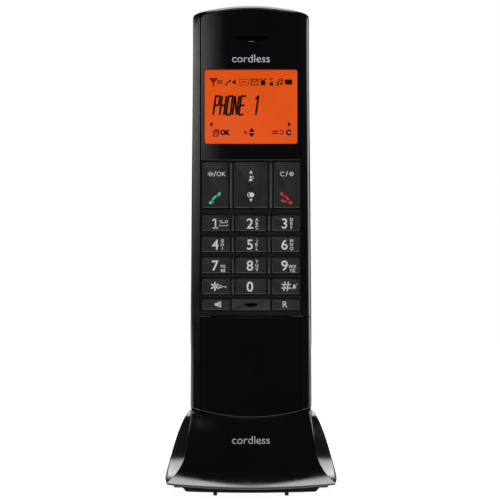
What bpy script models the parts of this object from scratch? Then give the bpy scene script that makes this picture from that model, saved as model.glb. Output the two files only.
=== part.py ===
"""Cordless phone with base: a slim handset standing in a tower base.

Lengths are in millimetres and become metres when a mesh is made. +Z is up, the front faces -Y, and
the origin is the centre of the footprint on the surface that the base stands on.
"""

from math import acos, cos, degrees, pi, radians, sin, sqrt

import bmesh
import bpy
from mathutils import Vector

MM = 0.001
GAP = 0.3                      # clearance between neighbouring pieces

# Driving dimensions: the whole tower
TOP = 200.0                    # crown of the handset
SEAM = 72.9                    # where the handset meets the column
FRONT = -16.0                  # front plane of handset and column
BACK = 8.0                     # rear plane of handset and column
HALF_WIDTH_TOP = 23.9
HALF_WIDTH_SEAM = 24.8
HALF_WIDTH_COLUMN_FOOT = 25.0
TAPER_TOP = 178.0              # the sides run parallel above this height
CROWN_RADIUS = 82.0            # the top edge is an arc
CORNER_RADIUS = 1.9
FRONT_EDGE = 4.0               # rounded rails
BACK_EDGE = 8.0
WALL = 1.8
SPLIT = -2.0                   # parting plane between the front and rear housings

# Front of the handset
PANEL_HALF_WIDTH = 20.5
PANEL_FRONT = FRONT - 0.2
PANEL_BACK = PANEL_FRONT + 1.7
POCKET_BACK = PANEL_BACK + GAP
FRONT_WALL_BACK = POCKET_BACK + 1.5
PANEL_BOTTOM = 136.8
WINDOW_HALF_WIDTH = 19.05
WINDOW_LOW = 143.6
WINDOW_HIGH = 173.9
EAR_HEIGHT = 186.3
EAR_HALF_WIDTH = 7.6

# Keypad
KEY_FRONT = PANEL_FRONT - 0.5
KEY_CAP = 1.8
KEY_TRAVEL = 0.7
ROW_PITCH = 8.6
TOP_ROW = 111.1
ROW_HEIGHT = 6.5
BOTTOM_ROW = 77.9
BOTTOM_ROW_HEIGHT = 4.6
MIDDLE_KEY_WIDTH = 12.8
SIDE_KEY_WIDTH = 11.5
SIDE_KEY_X = 14.15
ROCKER_CENTRE = 126.65
ROCKER_HEIGHT = 18.7
ROCKER_MIDDLE_WIDTH = 14.0
ROCKER_SIDE_WIDTH = 10.7
ROCKER_SIDE_X = 14.55
ROCKER_AXIS_Y = -12.8
ROCKER_GAP = 0.35

# Inside the handset
MAT_FRONT = FRONT_WALL_BACK + GAP
MAT_THICKNESS = 0.8
PCB_FRONT = -9.6
PCB_THICKNESS = 1.6
STEM_END = PCB_FRONT - KEY_TRAVEL - 0.4
BOARD_HALF_WIDTH = 20.0
SPEAKER_HEIGHT = 165.0
GRILLE_PITCH = 2.4
GRILLE_SLOTS = 5
PLUNGER_OFFSET = 6.0           # the rocker keys press the mat this far above and below their middle
CELL_RADIUS = 5.25
CELL_LENGTH = 44.5
CELL_X = 5.6
CELL_Y = -0.1
CELL_LOW = SEAM + 21.7
WELL_HALF_WIDTH = 11.9
WELL_LOW = SEAM + 19.7
WELL_HIGH = SEAM + 68.3
WELL_FLOOR = -5.6
DOOR_HALF_WIDTH = 15.4
DOOR_LOW = SEAM + 16.5
DOOR_HIGH = SEAM + 78.5
DOOR_THICKNESS = 1.5
DOOR_RIBS = 4
DOOR_RIB_PITCH = 2.2

# Rebated plug under the handset, and the cradle that takes it
PLUG_LOW = SEAM - 17.0
PLUG_TOP = SEAM - 0.1
PLUG_HALF_WIDTH = 21.35
PLUG_FRONT = -11.1
PLUG_BACK = 4.6
CRADLE_LOW = SEAM - 21.0
CRADLE_FLOOR = SEAM - 19.5
CRADLE_FRONT = -12.6
CRADLE_BACK = 6.1
CRADLE_WALL = 1.0
CONTACT_X = 12.0
CONTACT_Y = -5.0
CONTACT_HALF_WIDTH = 3.0

# Base
COLUMN_TOP = SEAM - GAP / 2
SMILE_RADIUS = 79.0            # the seam between column and foot is an arc seen from the front
SMILE_LOW = 31.4
FOOT_TOP = 34.0
LIP_TOP = 4.4
FOOT_LOW = 3.4
FOOT_HALF_WIDTH = 35.9
FOOT_NOSE = -29.0
FOOT_BACK = 37.0
FOOT_WALL = 2.0
SPIGOT_TOP = 38.5
NICHE_HALF_WIDTH = 17.5
NICHE_Y = 26.8
NICHE_LOW = 6.8
NICHE_HIGH = 19.8
NICHE_WALL = 1.5
SOCKET_X = 9.0
SOCKET_WIDTH = 12.4
SOCKET_LOW = 7.5
SOCKET_HIGH = 18.5
BASE_PCB_LOW = 5.6
PLATE_LOW = 1.3
PLATE_STEP = 3.6
PLATE_HIGH = 4.9
PAGE_HEIGHT = 45.2
PAGE_RADIUS = 4.0
SCREW_HEAD_RADIUS = 2.5
SCREW_SHANK_RADIUS = 1.2
FOOT_PAD_RADIUS = 4.0
RUNNER_HALF_WIDTH = 0.8        # the front feet are narrow runners, the rear ones are round
RUNNER_HALF_LENGTH = 6.0
FRONT_FEET = ((-14.6, -13.0), (14.6, -13.0))
REAR_FEET = ((-22.0, 24.0), (22.0, 24.0))
BASE_SCREWS = ((-25.5, -7.0), (25.5, -7.0), (-25.5, 13.0), (25.5, 13.0))
CASE_SCREWS = ((-16.4, 185.3), (16.4, 185.3))

COLOURS = {                    # name: (red, green, blue), roughness, metallic
    "gloss_black": ((0.012, 0.012, 0.014), 0.16, 0.0),
    "panel_black": ((0.008, 0.008, 0.009), 0.08, 0.0),
    "key_grey": ((0.045, 0.046, 0.050), 0.42, 0.0),
    "matt_black": ((0.020, 0.020, 0.022), 0.55, 0.0),
    "display_orange": ((0.77, 0.085, 0.012), 0.25, 0.0),
    "lcd_metal": ((0.55, 0.56, 0.58), 0.35, 0.8),
    "board_green": ((0.02, 0.14, 0.06), 0.50, 0.0),
    "silicone_grey": ((0.20, 0.20, 0.21), 0.65, 0.0),
    "rubber_black": ((0.015, 0.015, 0.015), 0.85, 0.0),
    "steel": ((0.62, 0.62, 0.64), 0.30, 1.0),
    "gold": ((0.83, 0.60, 0.25), 0.28, 1.0),
    "cell_wrap": ((0.05, 0.25, 0.12), 0.35, 0.0),
    "socket_grey": ((0.06, 0.06, 0.065), 0.50, 0.0),
}


# ---------------------------------------------------------------- solids

def remove_everything():
    for thing in list(bpy.data.objects):
        bpy.data.objects.remove(thing, do_unlink=True)


def loft(rings):
    """A closed solid through rings of points, each ring with the same number of points."""
    solid = bmesh.new()
    loops = [[solid.verts.new(point) for point in ring] for ring in rings]
    for lower, upper in zip(loops, loops[1:]):
        for index in range(len(lower)):
            following = (index + 1) % len(lower)
            solid.faces.new((lower[index], lower[following], upper[following], upper[index]))
    solid.faces.new(loops[0])
    solid.faces.new(loops[-1])
    return facing_out(solid)


def facing_out(solid):
    bmesh.ops.recalc_face_normals(solid, faces=solid.faces)
    if solid.calc_volume(signed=True) < 0:
        bmesh.ops.reverse_faces(solid, faces=solid.faces)
    return solid


def box(x, y, z):
    """A box between two values on each axis."""
    return loft([[(x[0], y[0], level), (x[1], y[0], level), (x[1], y[1], level), (x[0], y[1], level)]
                 for level in z])


def box_at(x, half_width, y, z, half_height):
    return box((x - half_width, x + half_width), y, (z - half_height, z + half_height))


def cylinder(centre, radius, along, span, sides=24):
    """A round bar; centre gives the two other coordinates, span the two ends on the axis."""
    rings = []
    for level in span:
        ring = []
        for step in range(sides):
            angle = 2 * pi * step / sides
            across = (centre[0] + radius * cos(angle), centre[1] + radius * sin(angle))
            ring.append({"x": (level, *across), "y": (across[0], level, across[1]),
                         "z": (*across, level)}[along])
        rings.append(ring)
    return loft(rings)


def arc(centre, radius, start, end, steps):
    """Points on an arc, in degrees, both ends included."""
    angles = [radians(start + (end - start) * step / steps) for step in range(steps + 1)]
    return [(centre[0] + radius * cos(angle), centre[1] + radius * sin(angle)) for angle in angles]


def rounded_rectangle(low, high, radii, steps=3):
    """Outline with its own radius at each corner: low-left, low-right, high-right, high-left."""
    corners = ((low[0], low[1], 1, 1, 180), (high[0], low[1], -1, 1, 270),
               (high[0], high[1], -1, -1, 0), (low[0], high[1], 1, -1, 90))
    outline = []
    for (x, y, inward_x, inward_y, start), radius in zip(corners, radii):
        centre = (x + inward_x * radius, y + inward_y * radius)
        outline += arc(centre, radius, start, start + 90, steps)
    return outline


def plate_xz(outline, y):
    """An outline seen from the front, made into a plate between two y values."""
    return loft([[(x, level, z) for x, z in outline] for level in y])


def boolean(solid, tool, operation):
    """The solid changed by the tool; both are used up."""
    holders = []
    for part in (solid, tool):
        mesh = bpy.data.meshes.new("temporary")
        part.to_mesh(mesh)
        part.free()
        holder = bpy.data.objects.new("temporary", mesh)
        bpy.context.collection.objects.link(holder)
        holders.append(holder)
    modifier = holders[0].modifiers.new("boolean", "BOOLEAN")
    modifier.operation = operation
    modifier.solver = "EXACT"
    modifier.object = holders[1]
    result = bmesh.new()
    result.from_object(holders[0], bpy.context.evaluated_depsgraph_get())
    for holder in holders:
        mesh = holder.data
        bpy.data.objects.remove(holder)
        bpy.data.meshes.remove(mesh)
    bmesh.ops.remove_doubles(result, verts=result.verts, dist=0.0005)
    return result


def cut(solid, *tools):
    for tool in tools:
        solid = boolean(solid, tool, "DIFFERENCE")
    return solid


def join(solid, *others):
    for other in others:
        solid = boolean(solid, other, "UNION")
    return solid


def keep(solid, tool):
    return boolean(solid, tool, "INTERSECT")


def gather(solids):
    """Solids that don't touch, held in one mesh so that one cut can use them all."""
    merged = bmesh.new()
    for solid in solids:
        mesh = bpy.data.meshes.new("temporary")
        solid.to_mesh(mesh)
        solid.free()
        merged.from_mesh(mesh)
        bpy.data.meshes.remove(mesh)
    return merged


# ---------------------------------------------------------------- objects and materials

def material(name):
    found = bpy.data.materials.get(name)
    if found:
        return found
    colour, roughness, metallic = COLOURS[name]
    made = bpy.data.materials.new(name)
    made.use_nodes = True
    shader = made.node_tree.nodes["Principled BSDF"]
    shader.inputs["Base Color"].default_value = (*colour, 1.0)
    shader.inputs["Roughness"].default_value = roughness
    shader.inputs["Metallic"].default_value = metallic
    made.diffuse_color = (*colour, 1.0)
    return made


def empty(name, origin, parent=None):
    made = bpy.data.objects.new(name, None)
    bpy.context.collection.objects.link(made)
    place(made, origin, parent)
    return made


def place(thing, origin, parent):
    """Put an object at a point given in world millimetres, under its parent."""
    world = Vector(origin) * MM
    thing["world_mm"] = origin
    if parent:
        thing.parent = parent
        world -= Vector(parent["world_mm"]) * MM
    thing.location = world


def piece(name, solid, finish, parent, origin=(0.0, 0.0, 0.0), smooth=True):
    """A named object made from a solid in world millimetres, with its origin where asked."""
    solid = facing_out(solid)
    for vert in solid.verts:
        vert.co = (vert.co - Vector(origin)) * MM
    mesh = bpy.data.meshes.new(name)
    solid.to_mesh(mesh)
    solid.free()
    if smooth:
        mesh.shade_smooth()
        mesh.set_sharp_from_angle(angle=radians(35))
    mesh.materials.append(material(finish))
    made = bpy.data.objects.new(name, mesh)
    bpy.context.collection.objects.link(made)
    place(made, origin, parent)
    return made


# ---------------------------------------------------------------- shared outer forms

def half_width(z):
    """Half the tower's width: parallel at the top, then widening slowly to the foot."""
    if z >= TAPER_TOP:
        return HALF_WIDTH_TOP
    if z >= SEAM:
        share = (TAPER_TOP - z) / (TAPER_TOP - SEAM)
        return HALF_WIDTH_TOP + share * (HALF_WIDTH_SEAM - HALF_WIDTH_TOP)
    share = (SEAM - z) / (SEAM - SMILE_LOW)
    return HALF_WIDTH_SEAM + share * (HALF_WIDTH_COLUMN_FOOT - HALF_WIDTH_SEAM)


def tower(levels, side_inset=0.0, front=FRONT, back=BACK, front_edge=FRONT_EDGE, back_edge=BACK_EDGE,
          steps=4):
    """The tower's rounded section, lofted through heights."""
    rings = []
    for z in levels:
        half = half_width(z) - side_inset
        outline = rounded_rectangle((-half, front), (half, back),
                                    (front_edge, front_edge, back_edge, back_edge), steps)
        rings.append([(x, y, z) for x, y in outline])
    return loft(rings)


def crown_outline(half, inset, low, corner):
    """Front view of the top of the handset: straight sides, small corners and an arc."""
    radius = CROWN_RADIUS - inset
    centre_z = TOP - CROWN_RADIUS
    corner_x = half - corner
    corner_z = centre_z + sqrt((radius - corner) ** 2 - corner_x ** 2)
    lean = degrees(acos(corner_x / (radius - corner)))
    right = arc((corner_x, corner_z), corner, 0, lean, 3)
    crown = arc((0.0, centre_z), radius, lean, 180 - lean, 12)
    left = arc((-corner_x, corner_z), corner, 180 - lean, 180, 3)
    return [(-half, low), (half, low)] + right + crown[1:-1] + left


def crown_tool(inset, low):
    """A slab across the whole depth, whose top is the handset's crown less an inset."""
    half = HALF_WIDTH_TOP - inset + 0.05
    outline = crown_outline(half, inset, TAPER_TOP + 5, max(CORNER_RADIUS - inset, 0.8))
    skirt = [(-40.0, TAPER_TOP + 5), (-40.0, low), (40.0, low), (40.0, TAPER_TOP + 5)]
    return plate_xz(outline[2:] + skirt, (FRONT - 10, BACK + 10))


def smile_tool(radius):
    """A thick round bar across the depth; its underside is the seam between column and foot."""
    centre_z = SMILE_LOW + SMILE_RADIUS
    span = arc((0.0, centre_z), radius, 240, 300, 30)
    return plate_xz(span + [(40.0, centre_z), (-40.0, centre_z)], (FRONT - 40, BACK + 50))


def foot_outline(z, inset=0.0, points=9):
    """Plan of the foot at one height: a bowed front, corner ridges, flanks and a full round rear."""
    share = min(max((FOOT_TOP - z) / (FOOT_TOP - LIP_TOP), 0.0), 1.0)
    swell = share ** 0.64
    side = HALF_WIDTH_COLUMN_FOOT + swell * (FOOT_HALF_WIDTH - HALF_WIDTH_COLUMN_FOOT) - inset
    rear = BACK + swell * (FOOT_BACK - BACK) - inset
    nose = FRONT + share ** 2.2 * (FOOT_NOSE - FRONT) + inset
    ridge_x = 24.4 + (0.25 * share + 0.75 * share ** 4) * 9.9 - inset
    ridge_y = -13.0 - 11.5 * share ** 2.2 + inset
    middle = ridge_y + 6.0 + 17.0 * share ** 1.3
    bow = 1.7 + 6.3 * (1 - share) ** 2
    fullness = 5.0 - 2.4 * share
    right = []
    for step in range(points):
        across = step / points
        right.append((ridge_x * across, nose + (ridge_y - nose) * across ** bow))
    for step in range(5):
        along = step / 5
        right.append((ridge_x + (side - ridge_x) * along, ridge_y + (middle - ridge_y) * along))
    for step in range(points + 1):
        angle = step / points * pi / 2
        right.append((side * cos(angle) ** (2 / fullness),
                      middle + (rear - middle) * sin(angle) ** (2 / fullness)))
    left = [(-x, y) for x, y in reversed(right[1:-1])]
    return right + left


def foot_form(levels, inset=0.0, drop=0.0):
    """The foot's outer form, or the smaller form inside it, through (height, extra inset) levels."""
    return loft([[(x, y, z) for x, y in foot_outline(z + drop, inset + extra)] for z, extra in levels])


# ---------------------------------------------------------------- handset casings

def key_rows():
    """Centre height of each row of number keys, top row first."""
    return [TOP_ROW - ROW_PITCH * row for row in range(4)]


def panel_pocket():
    """The recess that takes the front panel and the keypad frame, open at the bottom edge."""
    outline = crown_outline(PANEL_HALF_WIDTH + GAP, 0.7, SEAM - 5, 2.3)
    return plate_xz(outline, (FRONT - 5, POCKET_BACK))


def front_housing(parent):
    shell = tower((SEAM + GAP / 2, TAPER_TOP, TOP + 2), back=SPLIT + 14, back_edge=BACK_EDGE)
    shell = keep(shell, crown_tool(0.0, SEAM - 5))
    shell = keep(shell, box((-40, 40), (FRONT - 5, SPLIT - GAP / 2), (SEAM - 5, TOP + 5)))
    hollow = tower((SEAM + WALL, TAPER_TOP, TOP + 2), side_inset=WALL, front=FRONT_WALL_BACK,
                   back=SPLIT + 14, front_edge=1.5, back_edge=2.0, steps=2)
    hollow = keep(hollow, crown_tool(WALL, SEAM - 5))
    shell = cut(shell, hollow, panel_pocket())
    posts = gather([cylinder((x, z), 3.0, "y", (FRONT_WALL_BACK - 0.5, SPLIT - 0.3), 12)
                    for x, z in CASE_SCREWS])
    shell = join(shell, posts)
    window = box_at(0, WINDOW_HALF_WIDTH - 1.2, (FRONT - 5, FRONT_WALL_BACK + 1),
                    (WINDOW_LOW + WINDOW_HIGH) / 2, (WINDOW_HIGH - WINDOW_LOW) / 2 - 1.2)
    keys = box((-19.0, 19.0), (FRONT - 5, FRONT_WALL_BACK + 1), (SEAM + 2.4, PANEL_BOTTOM - 1.0))
    ear = box_at(0, EAR_HALF_WIDTH, (FRONT - 5, FRONT_WALL_BACK + 1), EAR_HEIGHT, 1.4)
    threads = [cylinder((x, z), 1.5, "y", (FRONT_WALL_BACK + 0.4, SPLIT + 2), 10) for x, z in CASE_SCREWS]
    shell = cut(shell, gather([window, keys, ear] + threads))
    return piece("handset_front_housing", shell, "gloss_black", parent)


def plug():
    """The hollow rebated foot of the handset, without its opening."""
    half = PLUG_HALF_WIDTH
    outline = rounded_rectangle((-half, PLUG_FRONT), (half, PLUG_BACK), (1.5, 1.5, 4.6, 4.6))
    small = [(x * 0.96, -3.2 + (y + 3.2) * 0.93) for x, y in outline]
    return loft([[(x, y, PLUG_LOW) for x, y in small], [(x, y, PLUG_LOW + 0.8) for x, y in outline],
                 [(x, y, PLUG_TOP) for x, y in outline]])


def rear_housing(parent):
    shell = tower((SEAM + GAP / 2, TAPER_TOP, TOP + 2), steps=5)
    shell = keep(shell, crown_tool(0.0, SEAM - 5))
    shell = keep(shell, box((-40, 40), (SPLIT + GAP / 2, BACK + 5), (SEAM - 5, TOP + 5)))
    hollow = tower((SEAM + WALL, TAPER_TOP, TOP + 2), side_inset=WALL, front=SPLIT - 12,
                   back=BACK - WALL, back_edge=BACK_EDGE - WALL, steps=4)
    shell = cut(shell, keep(hollow, crown_tool(WALL, SEAM - 5)))

    half = WELL_HALF_WIDTH + 1.1
    well = box((-half, half), (WELL_FLOOR - 0.8, BACK - 0.5), (WELL_LOW - 1.1, WELL_HIGH + 1.1))
    posts = gather([cylinder((x, z), 3.9, "y", (SPLIT + 0.3, BACK - 1.0), 14) for x, z in CASE_SCREWS])
    riser = box((-17.0, 17.0), (SPLIT + GAP / 2, PLUG_BACK), (PLUG_TOP - 2, SEAM + 2.2))
    shell = join(shell, well, posts, riser, plug())

    well_space = box((-WELL_HALF_WIDTH, WELL_HALF_WIDTH), (WELL_FLOOR, BACK + 5), (WELL_LOW, WELL_HIGH))
    plug_space = box((-19.4, 19.4), (PLUG_FRONT + 1.6, PLUG_BACK - 1.6), (PLUG_LOW + 1.6, PLUG_TOP - 1.6))
    riser_space = box((-15.5, 15.5), (0.0, PLUG_BACK - 1.6), (PLUG_TOP - 3, SEAM + 4))
    heads = [cylinder((x, z), 2.8, "y", (1.0, BACK + 5), 14) for x, z in CASE_SCREWS]
    shanks = [cylinder((x, z), 1.6, "y", (SPLIT - 2, 2.0), 10) for x, z in CASE_SCREWS]
    grille = []
    for index in range(GRILLE_SLOTS):
        step = index - GRILLE_SLOTS // 2
        grille.append(box_at(0, 7.0 - 0.9 * abs(step), (2.0, BACK + 5), SPEAKER_HEIGHT + GRILLE_PITCH * step,
                             0.6))
    half = CONTACT_HALF_WIDTH + GAP
    contacts = [box_at(x, half, (CONTACT_Y - half, CONTACT_Y + half), PLUG_LOW, 1.15)
                for x in (-CONTACT_X, CONTACT_X)]
    shell = cut(shell, well_space, join(plug_space, riser_space), gather(heads),
                gather(shanks + grille + contacts))
    return piece("handset_rear_housing", shell, "gloss_black", parent)


def front_panel(parent):
    outline = crown_outline(PANEL_HALF_WIDTH, 1.0, PANEL_BOTTOM, 2.0)
    plate = plate_xz(outline, (PANEL_FRONT, PANEL_BACK))
    window = rounded_rectangle((-WINDOW_HALF_WIDTH - 0.2, WINDOW_LOW - 0.2),
                               (WINDOW_HALF_WIDTH + 0.2, WINDOW_HIGH + 0.2), (1.0,) * 4)
    lens = arc((0, EAR_HEIGHT + 13.2), 15.3, 240.2, 299.8, 8)
    slot = lens + [(EAR_HALF_WIDTH, EAR_HEIGHT + 0.95), (-EAR_HALF_WIDTH, EAR_HEIGHT + 0.95)]
    through = (PANEL_FRONT - 1, PANEL_BACK + 1)
    plate = cut(plate, gather([plate_xz(window, through), plate_xz(slot, through)]))
    return piece("front_panel", plate, "panel_black", parent)


def display_window(parent):
    outline = rounded_rectangle((-WINDOW_HALF_WIDTH + 0.1, WINDOW_LOW + 0.1),
                                (WINDOW_HALF_WIDTH - 0.1, WINDOW_HIGH - 0.1), (0.8,) * 4)
    return piece("display_window", plate_xz(outline, (PANEL_FRONT + 0.05, PANEL_BACK)),
                 "display_orange", parent)


# ---------------------------------------------------------------- keypad

def rocker_columns():
    """Name, centre and width of the three tall keys that rock."""
    return (("menu_talk_key", -ROCKER_SIDE_X, ROCKER_SIDE_WIDTH),
            ("up_down_key", 0.0, ROCKER_MIDDLE_WIDTH),
            ("cancel_end_key", ROCKER_SIDE_X, ROCKER_SIDE_WIDTH))


def push_keys():
    """Name, centre x, centre z, width and height of each key that is pressed straight in."""
    columns = ((-SIDE_KEY_X, SIDE_KEY_WIDTH), (0.0, MIDDLE_KEY_WIDTH), (SIDE_KEY_X, SIDE_KEY_WIDTH))
    labels = ("1", "2", "3", "4", "5", "6", "7", "8", "9", "star", "0", "hash")
    keys = []
    for index, label in enumerate(labels):
        x, width = columns[index % 3]
        keys.append(("key_" + label, x, key_rows()[index // 3], width, ROW_HEIGHT))
    keys.append(("key_speaker", -SIDE_KEY_X, BOTTOM_ROW, SIDE_KEY_WIDTH, BOTTOM_ROW_HEIGHT))
    keys.append(("key_recall", SIDE_KEY_X, BOTTOM_ROW, SIDE_KEY_WIDTH, BOTTOM_ROW_HEIGHT))
    return keys


def keypad_frame(parent):
    half = PANEL_HALF_WIDTH + 0.1
    plate = box((-half, half), (PANEL_FRONT, PANEL_BACK), (SEAM + 0.5, PANEL_BOTTOM - GAP))
    through = (PANEL_FRONT - 1, PANEL_BACK + 1)
    holes = [box_at(x, width / 2 + 0.25, through, z, height / 2 + 0.25)
             for _, x, z, width, height in push_keys()]
    holes += [box_at(x, width / 2 + 0.25, through, ROCKER_CENTRE, ROCKER_HEIGHT / 2 + ROCKER_GAP)
              for _, x, width in rocker_columns()]
    smile = arc((0, BOTTOM_ROW + 6.9), 7.4, 245, 295, 6)
    smile += [(3.0, BOTTOM_ROW + 0.7), (-3.0, BOTTOM_ROW + 0.7)]
    holes.append(plate_xz(smile, through))
    return piece("keypad_frame", cut(plate, gather(holes)), "key_grey", parent)


def key_rings(x, z, width, height):
    """Rings of a key cap, softened at its front edge, down to a narrow stem behind it."""
    cap_back = KEY_FRONT + KEY_CAP

    def ring(inset, y, corner=0.6):
        outline = rounded_rectangle((x - width / 2 + inset, z - height / 2 + inset),
                                    (x + width / 2 - inset, z + height / 2 - inset), (corner,) * 4, 2)
        return [(px, y, pz) for px, pz in outline]

    def stem(y):
        outline = rounded_rectangle((x - 2.0, z - 1.3), (x + 2.0, z + 1.3), (0.4,) * 4, 2)
        return [(px, y, pz) for px, pz in outline]

    return [ring(0.45, KEY_FRONT, 0.4), ring(0.12, KEY_FRONT + 0.15, 0.5), ring(0.0, KEY_FRONT + 0.5),
            ring(0.0, cap_back), stem(cap_back), stem(STEM_END)]


def push_key(name, x, z, width, height, parent):
    return piece(name, loft(key_rings(x, z, width, height)), "key_grey", parent, (x, KEY_FRONT, z))


def rocker_key(name, x, width, parent):
    """A tall key that tips about a ridge behind its middle, with a plunger near each end."""
    cap = loft(key_rings(x, ROCKER_CENTRE, width, ROCKER_HEIGHT)[:4])
    ridge = box_at(x, 2.0, (KEY_FRONT + 1.0, ROCKER_AXIS_Y), ROCKER_CENTRE, 0.8)
    plungers = [box_at(x, 1.6, (KEY_FRONT + 1.0, STEM_END), ROCKER_CENTRE + offset, 1.3)
                for offset in (-PLUNGER_OFFSET, PLUNGER_OFFSET)]
    return piece(name, join(cap, gather([ridge] + plungers)), "key_grey", parent,
                 (x, ROCKER_AXIS_Y, ROCKER_CENTRE))


def keypad_mat(parent):
    mat = box((-19.6, 19.6), (MAT_FRONT, MAT_FRONT + MAT_THICKNESS), (SEAM + 2.4, PANEL_BOTTOM - 0.8))
    through = (MAT_FRONT - 1, MAT_FRONT + 2)
    holes = [box_at(x, 2.5, through, z, 1.8) for _, x, z, _, _ in push_keys()]
    holes += [box_at(x, 2.5, through, ROCKER_CENTRE + offset, 2.0)
              for _, x, _ in rocker_columns() for offset in (-PLUNGER_OFFSET, 0.0, PLUNGER_OFFSET)]
    holes.append(cylinder((0.0, BOTTOM_ROW), 2.6, "y", through, 12))
    return piece("keypad_mat", cut(mat, gather(holes)), "silicone_grey", parent)


# ---------------------------------------------------------------- handset insides

def handset_board(parent):
    board = box((-BOARD_HALF_WIDTH, BOARD_HALF_WIDTH), (PCB_FRONT, PCB_FRONT + PCB_THICKNESS),
                (SEAM + 5.5, WINDOW_HIGH + 3.5))
    return piece("handset_board", board, "board_green", parent)


def lcd_module(parent):
    front, back = FRONT_WALL_BACK + GAP, PCB_FRONT - GAP
    outline = rounded_rectangle((-19.0, WINDOW_LOW - 1.5), (19.0, WINDOW_HIGH + 1.5), (1.0,) * 4, 2)
    return piece("lcd_module", plate_xz(outline, (front, back)), "lcd_metal", parent)


def sound_parts(parent):
    front = FRONT_WALL_BACK + GAP
    steps = ((front, 5.5), (front + 0.8, 5.5), (front + 0.8, 7.0), (front + 3.4, 7.0), (front + 3.4, 4.0),
             (front + 4.6, 4.0))
    piece("earpiece_receiver", loft_round((0.0, EAR_HEIGHT), steps), "matt_black", parent)
    steps = ((front - 0.1, 1.0), (front - 0.1, 2.0), (PCB_FRONT - GAP, 2.0))
    piece("microphone", loft_round((0.0, BOTTOM_ROW), steps), "steel", parent)
    rear = BACK - WALL
    steps = ((rear - GAP, 10.0), (rear - 2.2, 10.0), (rear - 3.6, 7.0), (rear - 5.2, 7.0))
    piece("loudspeaker", loft_round((0.0, SPEAKER_HEIGHT), steps), "matt_black", parent)


def loft_round(centre, steps, sides=24):
    """A stepped round part about an axis along y, from (y, radius) pairs."""
    rings = []
    for y, radius in steps:
        rings.append([(x, y, z) for x, z in arc(centre, radius, 0, 360, sides)[:-1]])
    return loft(rings)


def turned(centre, steps, sides=24):
    """A stepped round part about a vertical axis, from (z, radius) pairs."""
    rings = []
    for z, radius in steps:
        rings.append([(x, y, z) for x, y in arc(centre, radius, 0, 360, sides)[:-1]])
    return loft(rings)


def batteries(parent):
    """Two cells side by side, one upside down, between a spring strip at each end of the well."""
    can, nub = CELL_LENGTH - 1.0, CELL_LENGTH
    for name, x, flip in (("battery_cell_left", -CELL_X, False), ("battery_cell_right", CELL_X, True)):
        steps = [(0.0, 4.2), (0.4, CELL_RADIUS), (can - 0.5, CELL_RADIUS), (can, 4.6), (can, 1.9),
                 (nub, 1.9)]
        if flip:
            steps = [(nub - height, radius) for height, radius in reversed(steps)]
        steps = [(CELL_LOW + height, radius) for height, radius in steps]
        piece(name, turned((x, CELL_Y), steps), "cell_wrap", parent)
    low, high = WELL_LOW + GAP, WELL_HIGH - GAP
    strips = (("battery_contact_low", (low, low + 0.6)), ("battery_contact_high", (high - 0.6, high)))
    for name, levels in strips:
        piece(name, box((-10.6, 10.6), (-3.4, 3.4), levels), "steel", parent, smooth=False)


def battery_door(parent):
    """A panel that lies on the rear wall and slides down off the battery well."""
    near, far = BACK + GAP, BACK + GAP + DOOR_THICKNESS
    outline = rounded_rectangle((-DOOR_HALF_WIDTH, DOOR_LOW), (DOOR_HALF_WIDTH, DOOR_HIGH), (3.0,) * 4,
                                4)
    middle = (DOOR_LOW + DOOR_HIGH) / 2
    small = [(x * 0.95, middle + (z - middle) * 0.985) for x, z in outline]
    plate = loft([[(x, near, z) for x, z in outline], [(x, far - 0.6, z) for x, z in outline],
                  [(x, far, z) for x, z in small]])
    ribs = []
    for rib in range(DOOR_RIBS):
        height = DOOR_HIGH - 11.5 + DOOR_RIB_PITCH * rib
        ribs.append(box_at(0, 7.0 - rib, (far - 0.5, far + 0.5), height, 0.5))
    return piece("battery_door", join(plate, gather(ribs)), "gloss_black", parent, (0.0, BACK, middle))


def handset_contacts(parent):
    for name, x in (("handset_contact_left", -CONTACT_X), ("handset_contact_right", CONTACT_X)):
        pad = box((x - CONTACT_HALF_WIDTH, x + CONTACT_HALF_WIDTH),
                  (CONTACT_Y - CONTACT_HALF_WIDTH, CONTACT_Y + CONTACT_HALF_WIDTH),
                  (PLUG_LOW + 0.1, PLUG_LOW + 0.8))
        piece(name, pad, "gold", parent, smooth=False)


def case_screws(parent):
    steps = ((1.3, 2.4), (3.2, 2.4), (3.6, 1.6))
    for name, (x, z) in zip(("case_screw_left", "case_screw_right"), CASE_SCREWS):
        head = loft_round((x, z), ((-8.0, SCREW_SHANK_RADIUS), (1.3, SCREW_SHANK_RADIUS)) + steps, 14)
        recess = gather([box_at(x, 1.3, (2.5, 5.0), z, 0.25)])
        piece(name, cut(head, recess), "steel", parent)


# ---------------------------------------------------------------- base

def column_shell(parent):
    low = SMILE_LOW - 2
    shell = tower((low, COLUMN_TOP), steps=4)
    shell = keep(shell, smile_tool(SMILE_RADIUS - GAP))
    hollow = tower((low - 5, COLUMN_TOP + 5), side_inset=1.6, front=FRONT + 3.1, back=BACK - 1.6,
                   front_edge=1.5, back_edge=6.4, steps=3)
    half = PANEL_HALF_WIDTH + GAP
    pocket = box((-half, half), (FRONT - 5, POCKET_BACK - 0.3), (low - 5, COLUMN_TOP + 5))
    button = cylinder((0.0, PAGE_HEIGHT), PAGE_RADIUS + 0.4, "y", (2.0, BACK + 5), 24)
    return piece("column_shell", cut(shell, hollow, pocket, button), "gloss_black", parent)


def column_panel(parent):
    plate = box((-PANEL_HALF_WIDTH, PANEL_HALF_WIDTH), (PANEL_FRONT, PANEL_BACK - 0.3),
                (SMILE_LOW - 2, COLUMN_TOP - 0.1))
    return piece("column_panel", keep(plate, smile_tool(SMILE_RADIUS - GAP)), "panel_black", parent)


def cradle_section(inset, levels):
    """The cup's rounded section, between the column's wall and the handset's plug."""
    return tower(levels, side_inset=1.9 + inset, front=CRADLE_FRONT + inset, back=CRADLE_BACK - inset,
                 front_edge=1.5, back_edge=6.1 - inset, steps=3)


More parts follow.
